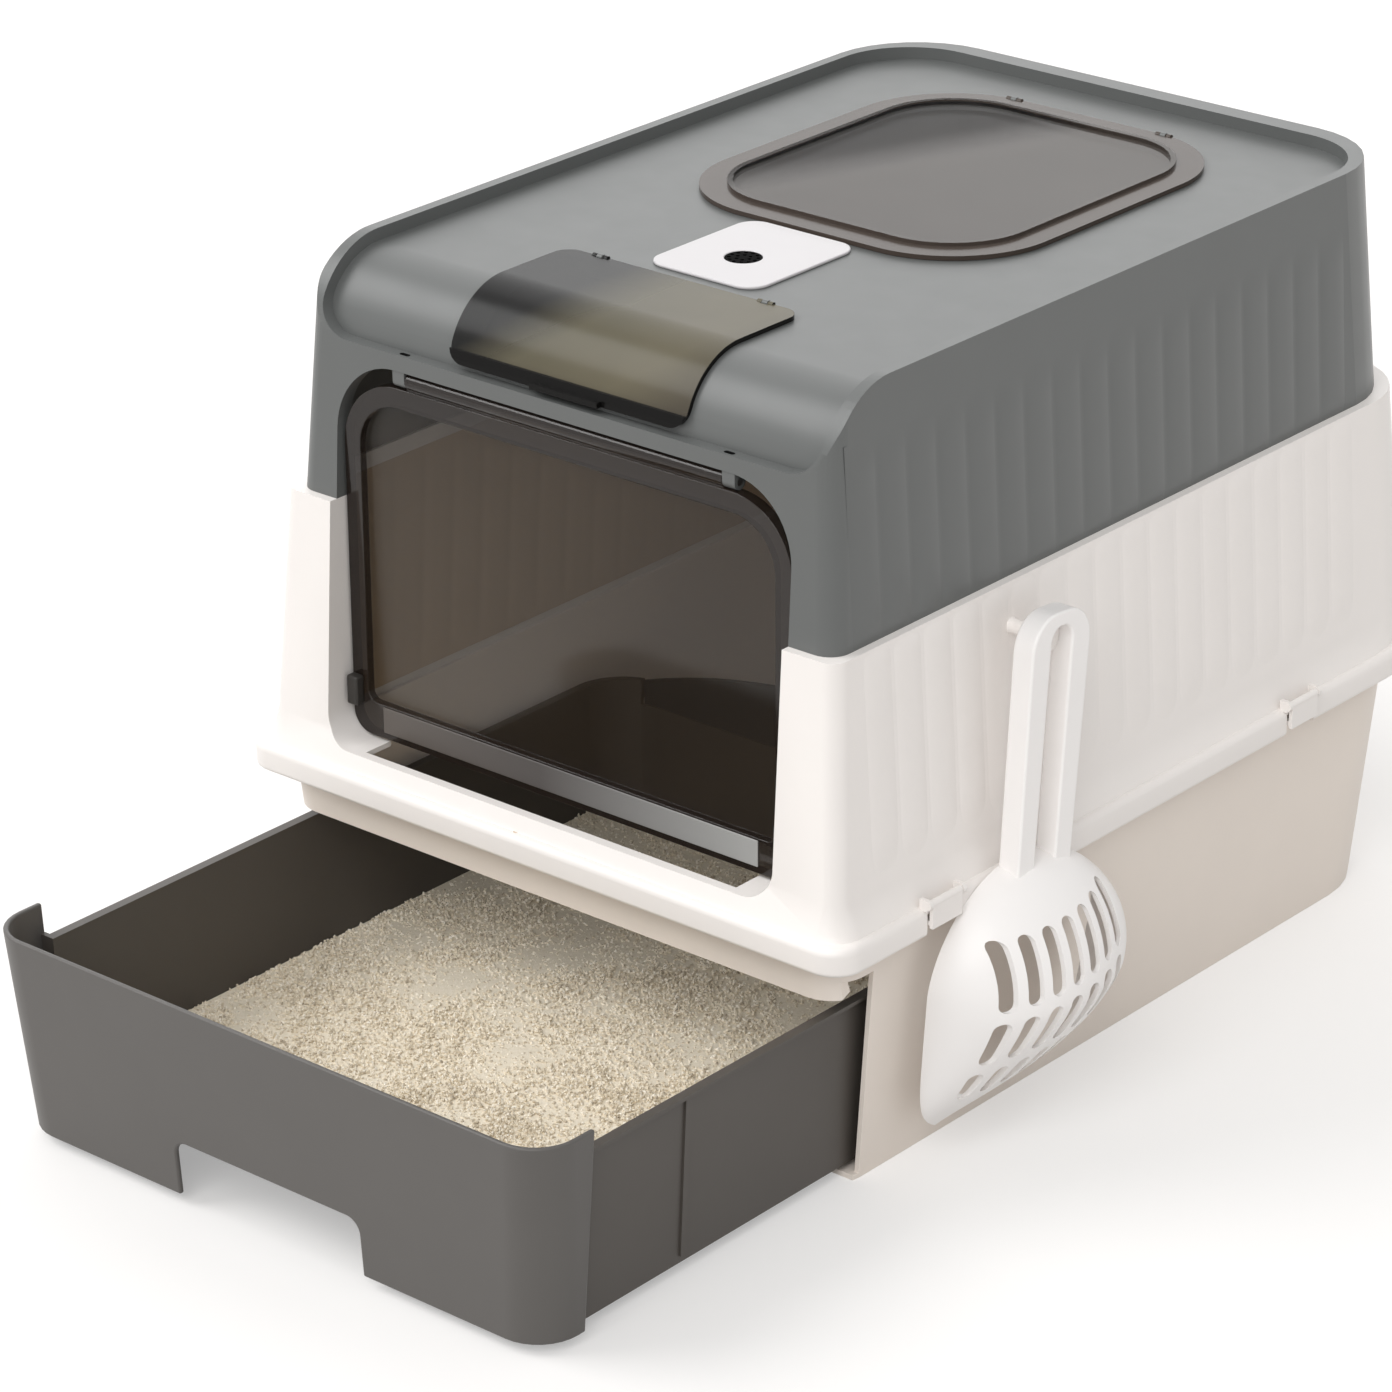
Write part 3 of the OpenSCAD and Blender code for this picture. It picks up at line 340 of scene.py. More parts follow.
def piece(name, bm, material, smooth_angle=GENTLE):
    """A mesh object from a bmesh, smooth where it bends gently."""
    mesh = bpy.data.meshes.new(name)
    bm.to_mesh(mesh)
    bm.free()
    mesh.materials.clear()
    mesh.materials.append(material)
    for face in mesh.polygons:
        face.material_index = 0
    mesh.shade_smooth()
    mesh.set_sharp_from_angle(angle=math.radians(smooth_angle))
    made = bpy.data.objects.new(name, mesh)
    bpy.context.scene.collection.objects.link(made)
    return made


def finished(made):
    """Turns an object with modifiers into a plain mesh object of the same name."""
    graph = bpy.context.evaluated_depsgraph_get()
    mesh = bpy.data.meshes.new_from_object(made.evaluated_get(graph))
    made.modifiers.clear()
    made.data = mesh
    return made


def evened(made):
    """Weights the normals by face area, so that flat faces look flat, and finishes the piece."""
    even_out = made.modifiers.new("even_normals", "WEIGHTED_NORMAL")
    even_out.keep_sharp = True
    return finished(made)


def soft_edges(made, width_mm, steps=3, angle=TURNED):
    """Rounds the edges of a piece by width_mm and keeps its flat faces flat."""
    bevel = made.modifiers.new("rounding", "BEVEL")
    bevel.width = width_mm * MM
    bevel.segments = steps
    bevel.limit_method = "ANGLE"
    bevel.angle_limit = math.radians(angle)
    bevel.use_clamp_overlap = True
    bevel.miter_outer = "MITER_ARC"
    return evened(made)


def settle(made, body, slot, *stands_for):
    """Puts a finished piece on its body and in place of its CAD nodes."""
    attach(made, body)
    if stands_for:
        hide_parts(*stands_for)
    print(made.name, len(made.data.polygons), "faces")


def moulded(name, node_name, finish, body, slot, width_mm, steps=3):
    """A CAD piece with soft edges, settled in place of its node."""
    made = soft_edges(piece(name, welded(node_name), finish), width_mm, steps)
    settle(made, body, slot, node_name)


# %% [markdown]
# ## Hood, middle frame and tub
# These are the big shells. Their CAD solids already have the right shape, down
# to the recessed roof and the doorway, so each gets rounded edges of the size
# that the real mould has: broad on the hood, tighter on the frame.
#
# The flange between tub and frame is a rolled bead rather than a square bar. The
# shell is cut at a few heights, and each point of its outer face moves inwards by
# what the bead's section asks for at that height: a broad rounding on top, a
# tighter one at the foot of the skirt.

# %% The rolled flange
FLANGE_FOOT, FLANGE_TOP = 134.5, 150.0
FLANGE_W, FLANGE_L, FRONT_R, REAR_R = 410.0, 554.0, 17.0, 75.0
BEAD_TOP_R, BEAD_FOOT_R, BEAD_REACH, SLACK = 4.4, 2.6, 2.4, 0.05
BEAD_CUTS = (134.8, 135.3, 136.1, 137.2, 145.5, 147.2, 148.4, 149.2, 149.7)


def flange_side(x, y):
    """Distance inwards from the flange's outline, and the outward direction, in mm."""
    radius = FRONT_R if y < 0 else REAR_R
    over = (abs(x) - FLANGE_W / 2 + radius, abs(y) - FLANGE_L / 2 + radius)
    sign = (1 if x > 0 else -1, 1 if y > 0 else -1)
    if over[0] > 0 and over[1] > 0:
        reach = math.hypot(*over)
        return radius - reach, (sign[0] * over[0] / reach, sign[1] * over[1] / reach)
    if over[0] > over[1]:
        return radius - over[0], (sign[0], 0)
    return radius - over[1], (0, sign[1])


def bead_inset(z):
    """How far the bead's section lies inside the flange's outline at height z, in mm."""
    if z > FLANGE_TOP - BEAD_TOP_R:
        over = z - FLANGE_TOP + BEAD_TOP_R
        return BEAD_TOP_R - math.sqrt(max(0.0, BEAD_TOP_R ** 2 - over ** 2))
    if z < FLANGE_FOOT + BEAD_FOOT_R:
        under = FLANGE_FOOT + BEAD_FOOT_R - z
        return BEAD_FOOT_R - math.sqrt(max(0.0, BEAD_FOOT_R ** 2 - under ** 2))
    return 0.0


def slice_through(bm, point, normal, **keep):
    """Cuts a bmesh by a plane through point."""
    return bmesh.ops.bisect_plane(bm, geom=bm.verts[:] + bm.edges[:] + bm.faces[:],
                                  plane_co=point, plane_no=normal, **keep)


def round_bead(made):
    """Rolls the outer face of the flange."""
    bm = bmesh.new()
    bm.from_mesh(made.data)
    for z in BEAD_CUTS:
        slice_through(bm, (0, 0, z * MM), (0, 0, 1))
    moved = 0
    for v in bm.verts:
        x, y, z = (c / MM for c in v.co)
        if not FLANGE_FOOT - SLACK < z < FLANGE_TOP + SLACK:
            continue
        deep, out = flange_side(x, y)
        shift = bead_inset(z) - deep
        if -2 * SLACK < deep < BEAD_REACH and shift > 0:
            v.co.x -= out[0] * shift * MM
            v.co.y -= out[1] * shift * MM
            moved += 1
    bm.to_mesh(made.data)
    bm.free()
    if made.data.has_custom_normals:
        made.data.attributes.remove(made.data.attributes["custom_normal"])
    made.data.set_sharp_from_angle(angle=math.radians(GENTLE))
    evened(made)
    print("bead points moved:", moved)


# %% The big shells
moulded("hood_shell", "hood", grey_pp, "tub", "grey_plastic", 1.6)
frame_shell = soft_edges(piece("middle_frame_shell", welded("mid_frame"), white_pp), 1.0)
round_bead(frame_shell)
settle(frame_shell, "tub", "white_plastic", "mid_frame")
moulded("base_tub_shell", "base_tub", cream_pp, "tub", "beige_plastic", 0.8)

# %% [markdown]
# The drawer is a tray with a fascia clipped to its front and an arched guard at
# its rear that stops litter from being kicked out. All three are plain mouldings.

# %% The drawer's mouldings
moulded("drawer_fascia", "drawer_front", drawer_pp, "drawer", "drawer_plastic", 1.1)
moulded("drawer_tray_shell", "drawer_tray", tray_shaded_pp, "drawer", "tray_plastic", 0.8)
moulded("drawer_rear_guard", "drawer_guard", guard_pp, "drawer", "guard_plastic", 0.8)

# %% [markdown]
# The door, the lid and the flap are thin sheets with a rolled rim. The rim is
# rounded far more than the sheet is, but only on its outward edges, so each edge
# of the piece is given its own bevel weight. The faces in the rim then get the
# denser finish. A rule on a face's place picks them: how far it lies inside the
# outline, or how far forward it stands.

# %% Rolled rims
def rolled(made, width_mm, inward_share, steps=5):
    """Rounds outward edges by width_mm and inward ones by a share of it."""
    bm = bmesh.new()
    bm.from_mesh(made.data)
    weight = bm.edges.layers.float.new("bevel_weight_edge")
    for edge in bm.edges:
        if len(edge.link_faces) == 2 and edge.calc_face_angle() > math.radians(TURNED):
            edge[weight] = 1.0 if edge.is_convex else inward_share
    bm.to_mesh(made.data)
    bm.free()
    bevel = made.modifiers.new("rolling", "BEVEL")
    bevel.width = width_mm * MM
    bevel.segments = steps
    bevel.limit_method = "WEIGHT"
    return evened(made)


def finish_rim(made, material, in_rim):
    """Gives a second finish to the faces that in_rim accepts by middle, normal and corners."""
    made.data.materials.append(material)
    count = 0
    for face in made.data.polygons:
        corners = [made.data.vertices[k].co / MM for k in face.vertices]
        if in_rim(face.center / MM, face.normal, corners):
            face.material_index = 1
            count += 1
    print(made.name, "rim faces:", count)


# %% The swing door
door_low, door_high = (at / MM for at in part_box("front_door"))
DOOR_RIM, DOOR_FOOT, DOOR_HEAD_Z, RIM_DEPTH = 11.4, 19.6, 350.5, 4.3


def in_door_rim(at, normal, corners):
    """The frame around the sheet: its sides, foot and head, and whatever stands forward of it."""
    beside = min(at.x - door_low.x, door_high.x - at.x)
    return (beside < DOOR_RIM or at.z < door_low.z + DOOR_FOOT or at.z > DOOR_HEAD_Z
            or at.y < door_low.y + RIM_DEPTH)


door = rolled(piece("smoked_door", welded("front_door"), door_styrene),
              width_mm=3.2, inward_share=0.25)
finish_rim(door, door_rim_styrene, in_door_rim)
settle(door, "door", "smoke_plastic", "front_door")

# %% The skylight
lid_low, lid_high = (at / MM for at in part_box("skylight_lid"))
LID_R, LID_RIM, LID_LONGER = 62.0, 17.9, 15.0


def lid_inward(x, y):
    """Distance inwards from the lid's outline, in mm."""
    half_w = (lid_high.x - lid_low.x) / 2
    half_l = half_w + LID_LONGER
    over = (abs(x) - half_w + LID_R, abs(y - lid_low.y - half_l) - half_l + LID_R)
    return LID_R - (math.hypot(*over) if min(over) > 0 else max(over))


def in_lid_rim(at, normal, corners):
    """The outer band and its raised line, but not the lid's underside."""
    return normal.z > -0.9 and max(lid_inward(c.x, c.y) for c in corners) < LID_RIM


lid = soft_edges(piece("skylight_sheet", welded("skylight_lid"), lid_styrene), 0.8)
finish_rim(lid, lid_rim_styrene, in_lid_rim)
settle(lid, "skylight", "skylight_plastic", "skylight_lid")

# %% [markdown]
# The flap is a curved sheet with round corners. Each corner is trimmed by a few
# planes that all touch the same arc, and every cut is closed again with a face.

# %% The front flap
flap_low, flap_high = (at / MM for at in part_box("top_flap"))
FLAP_HINGE_Y, FLAP_CORNER, FLAP_RIM = -152.0, 10.0, 7.6


def round_corner(bm, middle, along, out, radius, cuts=6):
    """Trims a sheet's corner to an arc: middle is the arc's, along and out point outwards."""
    for k in range(cuts):
        turn = math.radians(90 * (k + 0.5) / cuts)
        normal = along * math.cos(turn) + out * math.sin(turn)
        cut = slice_through(bm, middle + normal * radius, normal, clear_outer=True)
        rim = [part for part in cut["geom_cut"] if isinstance(part, bmesh.types.BMEdge)]
        bmesh.ops.edgenet_fill(bm, edges=rim)


def in_flap_rim(at, normal, corners):
    """The thick front edge and both side edges."""
    return at.z < flap_low.z + FLAP_RIM or abs(normal.x) > 0.7


flap_shape = welded("top_flap")
for side in (-1, 1):
    x = side * (flap_high.x - FLAP_CORNER)
    rear = Vector((x, FLAP_HINGE_Y - FLAP_CORNER, 0))
    front = Vector((x, 0, flap_low.z + FLAP_CORNER))
    for out, middle in ((Vector((0, 1, 0)), rear), (Vector((0, 0, -1)), front)):
        round_corner(flap_shape, middle * MM, Vector((side, 0, 0)), out, FLAP_CORNER * MM)
bmesh.ops.recalc_face_normals(flap_shape, faces=flap_shape.faces)
print("open edges of the flap:", sum(1 for e in flap_shape.edges if not e.is_manifold))
flap = soft_edges(piece("brow_flap", flap_shape, flap_styrene), 0.8)
finish_rim(flap, flap_rim_styrene, in_flap_rim)
settle(flap, "flap", "amber_plastic", "top_flap")

# %% [markdown]
# The small mouldings need no more than soft edges. The clips hold the frame down
# on the tub, and the two catches on the door's sides are there for a finger.

# %% The small pieces
moulded("filter_plate", "filter_cover", plate_pp, "tub", "white_plastic", 0.5, 2)
moulded("door_foot_strip", "door_strip", strip_pp, "door", "pale_strip", 0.3, 2)
moulded("door_finger_catches", "door_catches", catch_pp, "door", "catch_plastic", 1.2, 2)
for side in ("right", "left"):
    for end in ("front", "rear"):
        clip = f"clip_{side}_{end}"
        moulded(f"flip_{clip}", clip, white_pp, clip, "white_plastic", 0.5, 2)

# %% [markdown]
# Two small slots in the hood's front ledge let the mould's core slide out, and the
# flange has the round mark of a gate. They are drawn as thin round-ended plugs, since
# a plug a few millimetres long reads the same as a hole of that size. The plugs'
# dark tones are painted shade: black for the slots, a shaded tan for the gate's
# shallow dimple.

# %% Mould marks
PLUG_SUNK, PLUG_PROUD = 0.6, 0.15
LEDGE_SLOT_AT, LEDGE_SLOT_SIZE = (108.0, -243.8, 380.0), (6.5, 2.6)
GATE_AT, GATE_SIZE = (-13.0, -271.6, 149.9), (3.2, 3.2)


def band(bm, low, high):
    """Joins two closed rows of points by a band of faces."""
    for k in range(len(low)):
        n = (k + 1) % len(low)
        bm.faces.new((low[k], low[n], high[n], high[k]))


def arc_points(across, up, radius, first, last, steps):
    """Points of an arc in a plane, angles in degrees."""
    turns = [math.radians(first + (last - first) * k / steps) for k in range(steps + 1)]
    return [(across + radius * math.cos(t), up + radius * math.sin(t)) for t in turns]


def plug(bm, x, y, z, length, width):
    """A flat plug with round ends, its length along X, that stands a little proud of z."""
    reach, radius = (length - width) / 2, width / 2
    outline = (arc_points(x + reach, y, radius, -90, 90, 10)
               + arc_points(x - reach, y, radius, 90, 270, 10))
    low, top = ([bm.verts.new(Vector((px, py, h)) * MM) for px, py in outline]
                for h in (z - PLUG_SUNK, z + PLUG_PROUD))
    bm.faces.new(top)
    bm.faces.new(low)
    band(bm, low, top)


marks, gate = bmesh.new(), bmesh.new()
for side in (-1, 1):
    plug(marks, side * LEDGE_SLOT_AT[0], *LEDGE_SLOT_AT[1:], *LEDGE_SLOT_SIZE)
plug(gate, *GATE_AT, *GATE_SIZE)
for shape in (marks, gate):
    bmesh.ops.remove_doubles(shape, verts=shape.verts, dist=WELD)
    bmesh.ops.recalc_face_normals(shape, faces=shape.faces)
settle(piece("brow_ledge_slots", marks, black_pp), "tub", "grey_plastic")
settle(piece("flange_gate_mark", gate, shaded_lining_pp), "tub", "white_plastic")

# %% [markdown]
# ## The scoop
# The scoop is one moulding: a strap bent into a long loop for the handle, and a
# deep bowl. It hangs by the end of its loop and leans a little, so all of it is
# drawn upright about its hanging point and each point is then turned to its place.

# %% Where the scoop hangs
hang = Vector((206.0, -119.1, 269.0))
LEAN = -5.2
lean = Matrix.Rotation(math.radians(LEAN), 3, "X")


def hung(x, y, z):
    """A point of the scoop, in mm about its hanging point, turned to its place in metres."""
    return (lean @ Vector((x, y, z)) + hang) * MM


print("the scoop leans by", LEAN, "degrees")

# %% [markdown]
# The peg that carries it has a flared foot on the wall, a slim neck, and a head
# that fills the end of the loop. It is a turned shape, so one row of points with
# radii is carried round an axis, as on a lathe.

# %% The peg
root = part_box("scoop_hook")[0].x / MM
PEG_PROFILE = [(root, 5.2), (root + 1.4, 4.5), (root + 3.2, 4.0), (202.6, 4.0), (204.4, 4.9),
               (205.3, 8.0), (205.8, 8.4), (210.0, 8.4), (210.8, 8.0), (211.0, 7.2)]
ROUND = 60  # degrees: a turned or swept shape stays smooth up to this


def lathe(profile, y, z, steps=40):
    """Turns (x, radius) points, in mm, about an axis along X through (y, z)."""
    bm = bmesh.new()
    turns = [2 * math.pi * k / steps for k in range(steps)]
    rings = [[bm.verts.new(Vector((x, y + r * math.cos(t), z + r * math.sin(t))) * MM)
              for t in turns] for x, r in profile]
    for a, b in zip(rings, rings[1:]):
        band(bm, b, a)
    bm.faces.new(rings[0])
    bm.faces.new(rings[-1])
    bmesh.ops.recalc_face_normals(bm, faces=bm.faces)
    return bm


peg = piece("scoop_peg", lathe(PEG_PROFILE, hang.y, hang.z), white_pp, ROUND)
settle(peg, "tub", "white_plastic", "scoop_hook")

# %% [markdown]
# The handle is a ring of faces between an outer and an inner outline, each of four
# arcs: two large ones that round the hanging end, and two small ones at the bowl.

# %% The handle's loop
LOOP_THICK = 13
# each arc: its centre across and up, its radius, its first and last angle
OUTER_ARCS = ((5, -3, 19, 0, 90), (-5, -3, 19, 90, 180),
              (-18, -143, 4, 180, 270), (18, -143, 4, 270, 360))
INNER_ARCS = ((0, 0, 8.5, 0, 90), (0, 0, 8.5, 90, 180),
              (-6.5, -129, 2, 180, 270), (6.5, -129, 2, 270, 360))


def handle_loop():
    """The strap's ring, before its edges are rounded."""
    outer, inner = ([point for arc in arcs for point in arc_points(*arc, 9)]
                    for arcs in (OUTER_ARCS, INNER_ARCS))
    bm = bmesh.new()
    rings = [[bm.verts.new(hung(x, y, z)) for y, z in outline]
             for outline, x in ((outer, 0), (outer, LOOP_THICK), (inner, LOOP_THICK), (inner, 0))]
    for a, b in zip(rings, rings[1:] + rings[:1]):
        band(bm, a, b)
    bmesh.ops.recalc_face_normals(bm, faces=bm.faces)
    return bm


loop = soft_edges(piece("scoop_handle_loop", handle_loop(), scoop_pp), 4.2, 5)
settle(loop, "scoop", "white_plastic", "scoop")

# %% [markdown]
# The bowl is egg-shaped at its mouth, square at its lip, and deepest near the
# handle. It is a grid swept through half-ellipses that grow and shrink with height.
# The powers in its section say how full each curve is.

# %% The bowl's skin
LIP, CROWN, BELLY, DEEPEST = -247.0, -115.0, -172.0, -180.0
BOWL_HALF, BOWL_DEPTH = 69.5, 52
LIP_X, LIP_NARROWS, LIP_SLANT = -8.0, 5, 0.18
LEVELS, TURNS = 44, 56


def bowl_section(z):
    """Half width and depth of the bowl at height z below the hanging point, in mm."""
    if z > BELLY:
        rise = (z - BELLY) / (CROWN - BELLY)
        half = BOWL_HALF * math.sqrt(max(0.0, 1 - rise ** 1.8))
    else:
        down = (BELLY - z) / (BELLY - LIP)
        half = (BOWL_HALF - LIP_NARROWS * down) * math.sqrt(1 - (0.9 * down) ** 8)
    if z > DEEPEST:
        depth = BOWL_DEPTH * max(0.0, 1 - ((z - DEEPEST) / (CROWN - DEEPEST)) ** 2) ** 0.6
    else:
        depth = BOWL_DEPTH * max(0.0, 1 - ((DEEPEST - z) / (DEEPEST - LIP)) ** 1.3) ** 0.8
    return half, depth


def bowl_shell():
    """The skin of the bowl, open towards the wall, with its faces pointing away from it."""
    bm = bmesh.new()
    rows = []
    for k in range(LEVELS + 1):
        # closer together at both ends, where the section changes fastest
        share = 0.5 - 0.5 * math.cos(math.pi * k / LEVELS)
        z = LIP + share * (CROWN - LIP)
        half, depth = bowl_section(z)
        wall_x = LIP_X - LIP_X * share
        row = []
        for n in range(TURNS + 1):
            t = math.pi * n / TURNS
            y = -half * math.cos(t)
            # the lip is cut aslant, lower at the front
            height = z + LIP_SLANT * (1 - share) * y
            row.append(bm.verts.new((wall_x + depth * math.sin(t), y, height)))
        rows.append(row)
    for low, high in zip(rows, rows[1:]):
        for n in range(TURNS):
            bm.faces.new((low[n], low[n + 1], high[n + 1], high[n]))
    bmesh.ops.recalc_face_normals(bm, faces=bm.faces)
    if sum(f.normal.x * f.calc_area() for f in bm.faces) < 0:
        bmesh.ops.reverse_faces(bm, faces=bm.faces)
    return bm


print("bowl half width and depth at the belly:", bowl_section(BELLY))

# %% [markdown]
# Clean litter falls through three rows of slots with round ends. They follow the
# slanted lip, so each slot sits a little higher than the one before. One prism for
# each slot cuts the bowl by a Boolean, once Solidify has given the skin a wall.

# %% The slots
SLOT_R, SLOT_PITCH, SLOT_COUNT, FIRST_SLOT = 4.1, 13.0, 7, -49.5
# each row: the first slot's foot and its climb per slot, then its head and the same
SLOT_ROWS = ((-181, 3, -145, 2.4), (-213, 2.7, -187, 3.2), (-236, 1.9, -219, 2.6))
CUT_FROM, CUT_TO = 6, 90
BOWL_WALL = 2.6
SLOT_TURN = 40  # degrees: the slots' rims turn by more


def slot_cutters():
    """Prisms with round ends, three rows of them, that reach through the bowl's outer side."""
    bm = bmesh.new()
    for k in range(SLOT_COUNT):
        y = FIRST_SLOT + SLOT_PITCH * k
        for foot, foot_climb, head, head_climb in SLOT_ROWS:
            low, high = foot + foot_climb * k, head + head_climb * k
            outline = (arc_points(y, high - SLOT_R, SLOT_R, 0, 180, 8)
                       + arc_points(y, low + SLOT_R, SLOT_R, 180, 360, 8))
            near, far = ([bm.verts.new((x, p, z)) for p, z in outline] for x in (CUT_FROM, CUT_TO))
            bm.faces.new(near)
            bm.faces.new(far)
            band(bm, near, far)
    bmesh.ops.recalc_face_normals(bm, faces=bm.faces)
    return bm


cutters = piece("slot_cutters", slot_cutters(), scoop_pp)
bowl = piece("scoop_slotted_bowl", bowl_shell(), scoop_pp, ROUND)
wall = bowl.modifiers.new("wall", "SOLIDIFY")
wall.thickness = BOWL_WALL
wall.offset = -1
slots = bowl.modifiers.new("slots", "BOOLEAN")
slots.operation = "DIFFERENCE"
slots.solver = "EXACT"
slots.object = cutters
finished(bowl)
for v in bowl.data.vertices:
    v.co = hung(*v.co)
bpy.data.objects.remove(cutters)
bowl.data.shade_smooth()
bowl.data.set_sharp_from_angle(angle=math.radians(SLOT_TURN))
settle(soft_edges(bowl, 0.7, 2, SLOT_TURN), "scoop", "white_plastic")

# %% [markdown]
# ## Flutes
# The walls of the hood and the middle frame are fluted: shallow arched ribs
# 23.5 mm apart, which stiffen a thin wall and hide scratches. A rib follows a
# simple rule, so a Geometry Nodes tree draws it: a grid, lifted by an arch that
# repeats with the pitch and fades out at the ends. The sheet then lies over the
# plain wall, sunk by a hair where the flutes end.

# %% The flute tree
GRID_X, GRID_Y = 217, 25  # points: at least 12 faces to a flute
ARCH_POWER = 2.4


def flute_tree():
    """Fluted sheet in its own plane: X along the wall, Y up the wall, Z out of it."""
    tree = bpy.data.node_groups.new("fluted_wall", "GeometryNodeTree")
    face = tree.interface
    face.new_socket("Geometry", in_out="OUTPUT", socket_type="NodeSocketGeometry")
    for label in ("Length", "Height", "Pitch", "Depth", "Low Fade", "High Fade", "Sink"):
        face.new_socket(label, in_out="INPUT", socket_type="NodeSocketFloat")
    face.new_socket("Finish", in_out="INPUT", socket_type="NodeSocketMaterial")
    given = add(tree, "NodeGroupInput").outputs

    def calc(operation, a, b=0.0, c=0.0):
        return add(tree, "ShaderNodeMath", {0: a, 1: b, 2: c}, operation=operation).outputs[0]

    sheet = add(tree, "GeometryNodeMeshGrid",
                {"Size X": given["Length"], "Size Y": given["Height"],
                 "Vertices X": GRID_X, "Vertices Y": GRID_Y})
    at = add(tree, "ShaderNodeSeparateXYZ", {0: add(tree, "GeometryNodeInputPosition").outputs[0]})
    along = calc("ADD", at.outputs["X"], calc("MULTIPLY", given["Length"], 0.5))
    up = calc("ADD", at.outputs["Y"], calc("MULTIPLY", given["Height"], 0.5))
    # arch of one flute: highest in the middle, a crease at each side
    turn = calc("FRACT", calc("DIVIDE", along, given["Pitch"]))
    off_centre = calc("ABSOLUTE", calc("MULTIPLY_ADD", turn, 2.0, -1.0))
    arch = calc("SUBTRACT", 1.0, calc("POWER", off_centre, ARCH_POWER))
    left = calc("SUBTRACT", given["Height"], up)
    fades = [add(tree, "ShaderNodeMapRange", {"Value": v, "From Min": 0.0, "From Max": given[f]},
                 interpolation_type="SMOOTHSTEP").outputs["Result"]
             for v, f in ((up, "Low Fade"), (left, "High Fade"))]
    lift = calc("MULTIPLY", calc("MULTIPLY", arch, given["Depth"]), calc("MULTIPLY", *fades))
    out = calc("SUBTRACT", lift, given["Sink"])
    moved = add(tree, "GeometryNodeSetPosition",
                {"Geometry": sheet.outputs["Mesh"],
                 "Offset": add(tree, "ShaderNodeCombineXYZ", {"Z": out}).outputs[0]})
    smooth = add(tree, "GeometryNodeSetShadeSmooth", {"Geometry": moved.outputs[0]})
    real = add(tree, "GeometryNodeRealizeInstances", {"Geometry": smooth.outputs[0]})
    dressed = add(tree, "GeometryNodeSetMaterial",
                  {"Geometry": real.outputs[0], "Material": given["Finish"]})
    add(tree, "NodeGroupOutput", {"Geometry": dressed.outputs[0]})
    return tree


def grown(name, tree, base_mesh, **values):
    """Runs a Geometry Nodes tree with named inputs and returns a plain mesh object."""
    made = bpy.data.objects.new(name, base_mesh)
    bpy.context.scene.collection.objects.link(made)
    work = made.modifiers.new("nodes", "NODES")
    work.node_group = tree
    for item in tree.interface.items_tree:
        key = item.name.lower().replace(" ", "_")
        if item.in_out == "INPUT" and key in values:
            work[item.identifier] = values[key]
    return finished(made)


fluted_wall = flute_tree()
print("flute tree nodes:", len(fluted_wall.nodes))

# %% [markdown]
# The walls lean inwards as they rise, the draft that lets a moulding leave its
# mould. Each sheet is grown flat. Its points are then stood up, leaned and turned
# to their wall, so that the object itself stays at the origin.

# %% Lay fluted sheets over the walls
PITCH, REAR_FLUTES = 23.5, 9
FLUTE_OUT, FLUTE_IN, FLUTE_SINK, OFF_WALL = 0.85, 0.5, 0.06, 0.2
REAR_FURTHER = 72.0  # the rear wall is that much further from the middle than a side wall


def fluted_sheet(name, finish, half, slope, foot, height, fades, start, count, turn, inside):
    """A fluted sheet over one wall. turn 90 is the right side, -90 the left, 180 the rear."""
    made = grown(name, fluted_wall, bpy.data.meshes.new(name), length=count * PITCH * MM,
                 height=height * MM, pitch=PITCH * MM,
                 depth=(FLUTE_IN if inside else FLUTE_OUT) * MM,
                 low_fade=fades[0] * MM, high_fade=fades[1] * MM, sink=FLUTE_SINK * MM,
                 finish=finish)
    spin = Matrix.Rotation(math.radians(turn), 4, "Z")
    for v in made.data.vertices:
        up = v.co.y + height * MM / 2
        along = v.co.x + count * PITCH * MM / 2 + start * MM
        out = half * MM - slope * up + (-v.co.z - OFF_WALL * MM if inside else v.co.z)
        # before the turn the wall faces the front, and along runs to the right
        v.co = spin @ Vector((along, -out, foot * MM + up))
    if inside:
        made.data.flip_normals()
    made.data.update()
    return made


def line_walls(name, finish, slot, half, slope, foot, height, fades, front, count, inside=False):
    """Sheets over both side walls, count flutes from y = front on, and over the rear wall.

    half is half the width between the side walls at their foot, in mm, slope how far
    they lean in for each mm of height, and fades how soon a flute rises and dies.
    """
    for side, turn, out, start, flutes in (
            ("right", 90, half, front, count),
            ("left", -90, half, -front - count * PITCH, count),
            ("rear", 180, half + REAR_FURTHER, -REAR_FLUTES / 2 * PITCH, REAR_FLUTES)):
        sheet = fluted_sheet(f"{name}_{side}", finish, out, slope, foot, height, fades,
                             start, flutes, turn, inside)
        settle(sheet, "tub", slot)


line_walls("frame_flutes", white_pp, "white_plastic", half=193.25, slope=0.063, foot=167.5,
           height=124.5, fades=(26.0, 2.0), front=-237.5, count=18)
line_walls("hood_flutes", grey_pp, "grey_plastic", half=180.5, slope=0.061, foot=293.0,
           height=104.0, fades=(2.0, 22.0), front=-237.5, count=18)

# %% [markdown]
# A moulded flute shows on the inside as well, as a shallow groove. Through the
# door these grooves are what tells the frame's inner wall from the tub's smooth
# one, so the same tree lines both side walls and the rear wall from within.

# %% Flutes inside the cabin
WALL_THICK = 3.0
# the inner sheets wear the lining's painted shade, not the frame's own white
line_walls("frame_inside", shaded_lining_pp, "white_plastic", half=193.6 - WALL_THICK, slope=0.063,
           foot=152.0, height=137.0, fades=(6, 6), front=-223.25, count=17, inside=True)
line_walls("hood_inside", grey_pp, "grey_plastic", half=180.2 - WALL_THICK, slope=0.061,
           foot=300.0, height=78.0, fades=(6, 6), front=-223.25, count=17, inside=True)

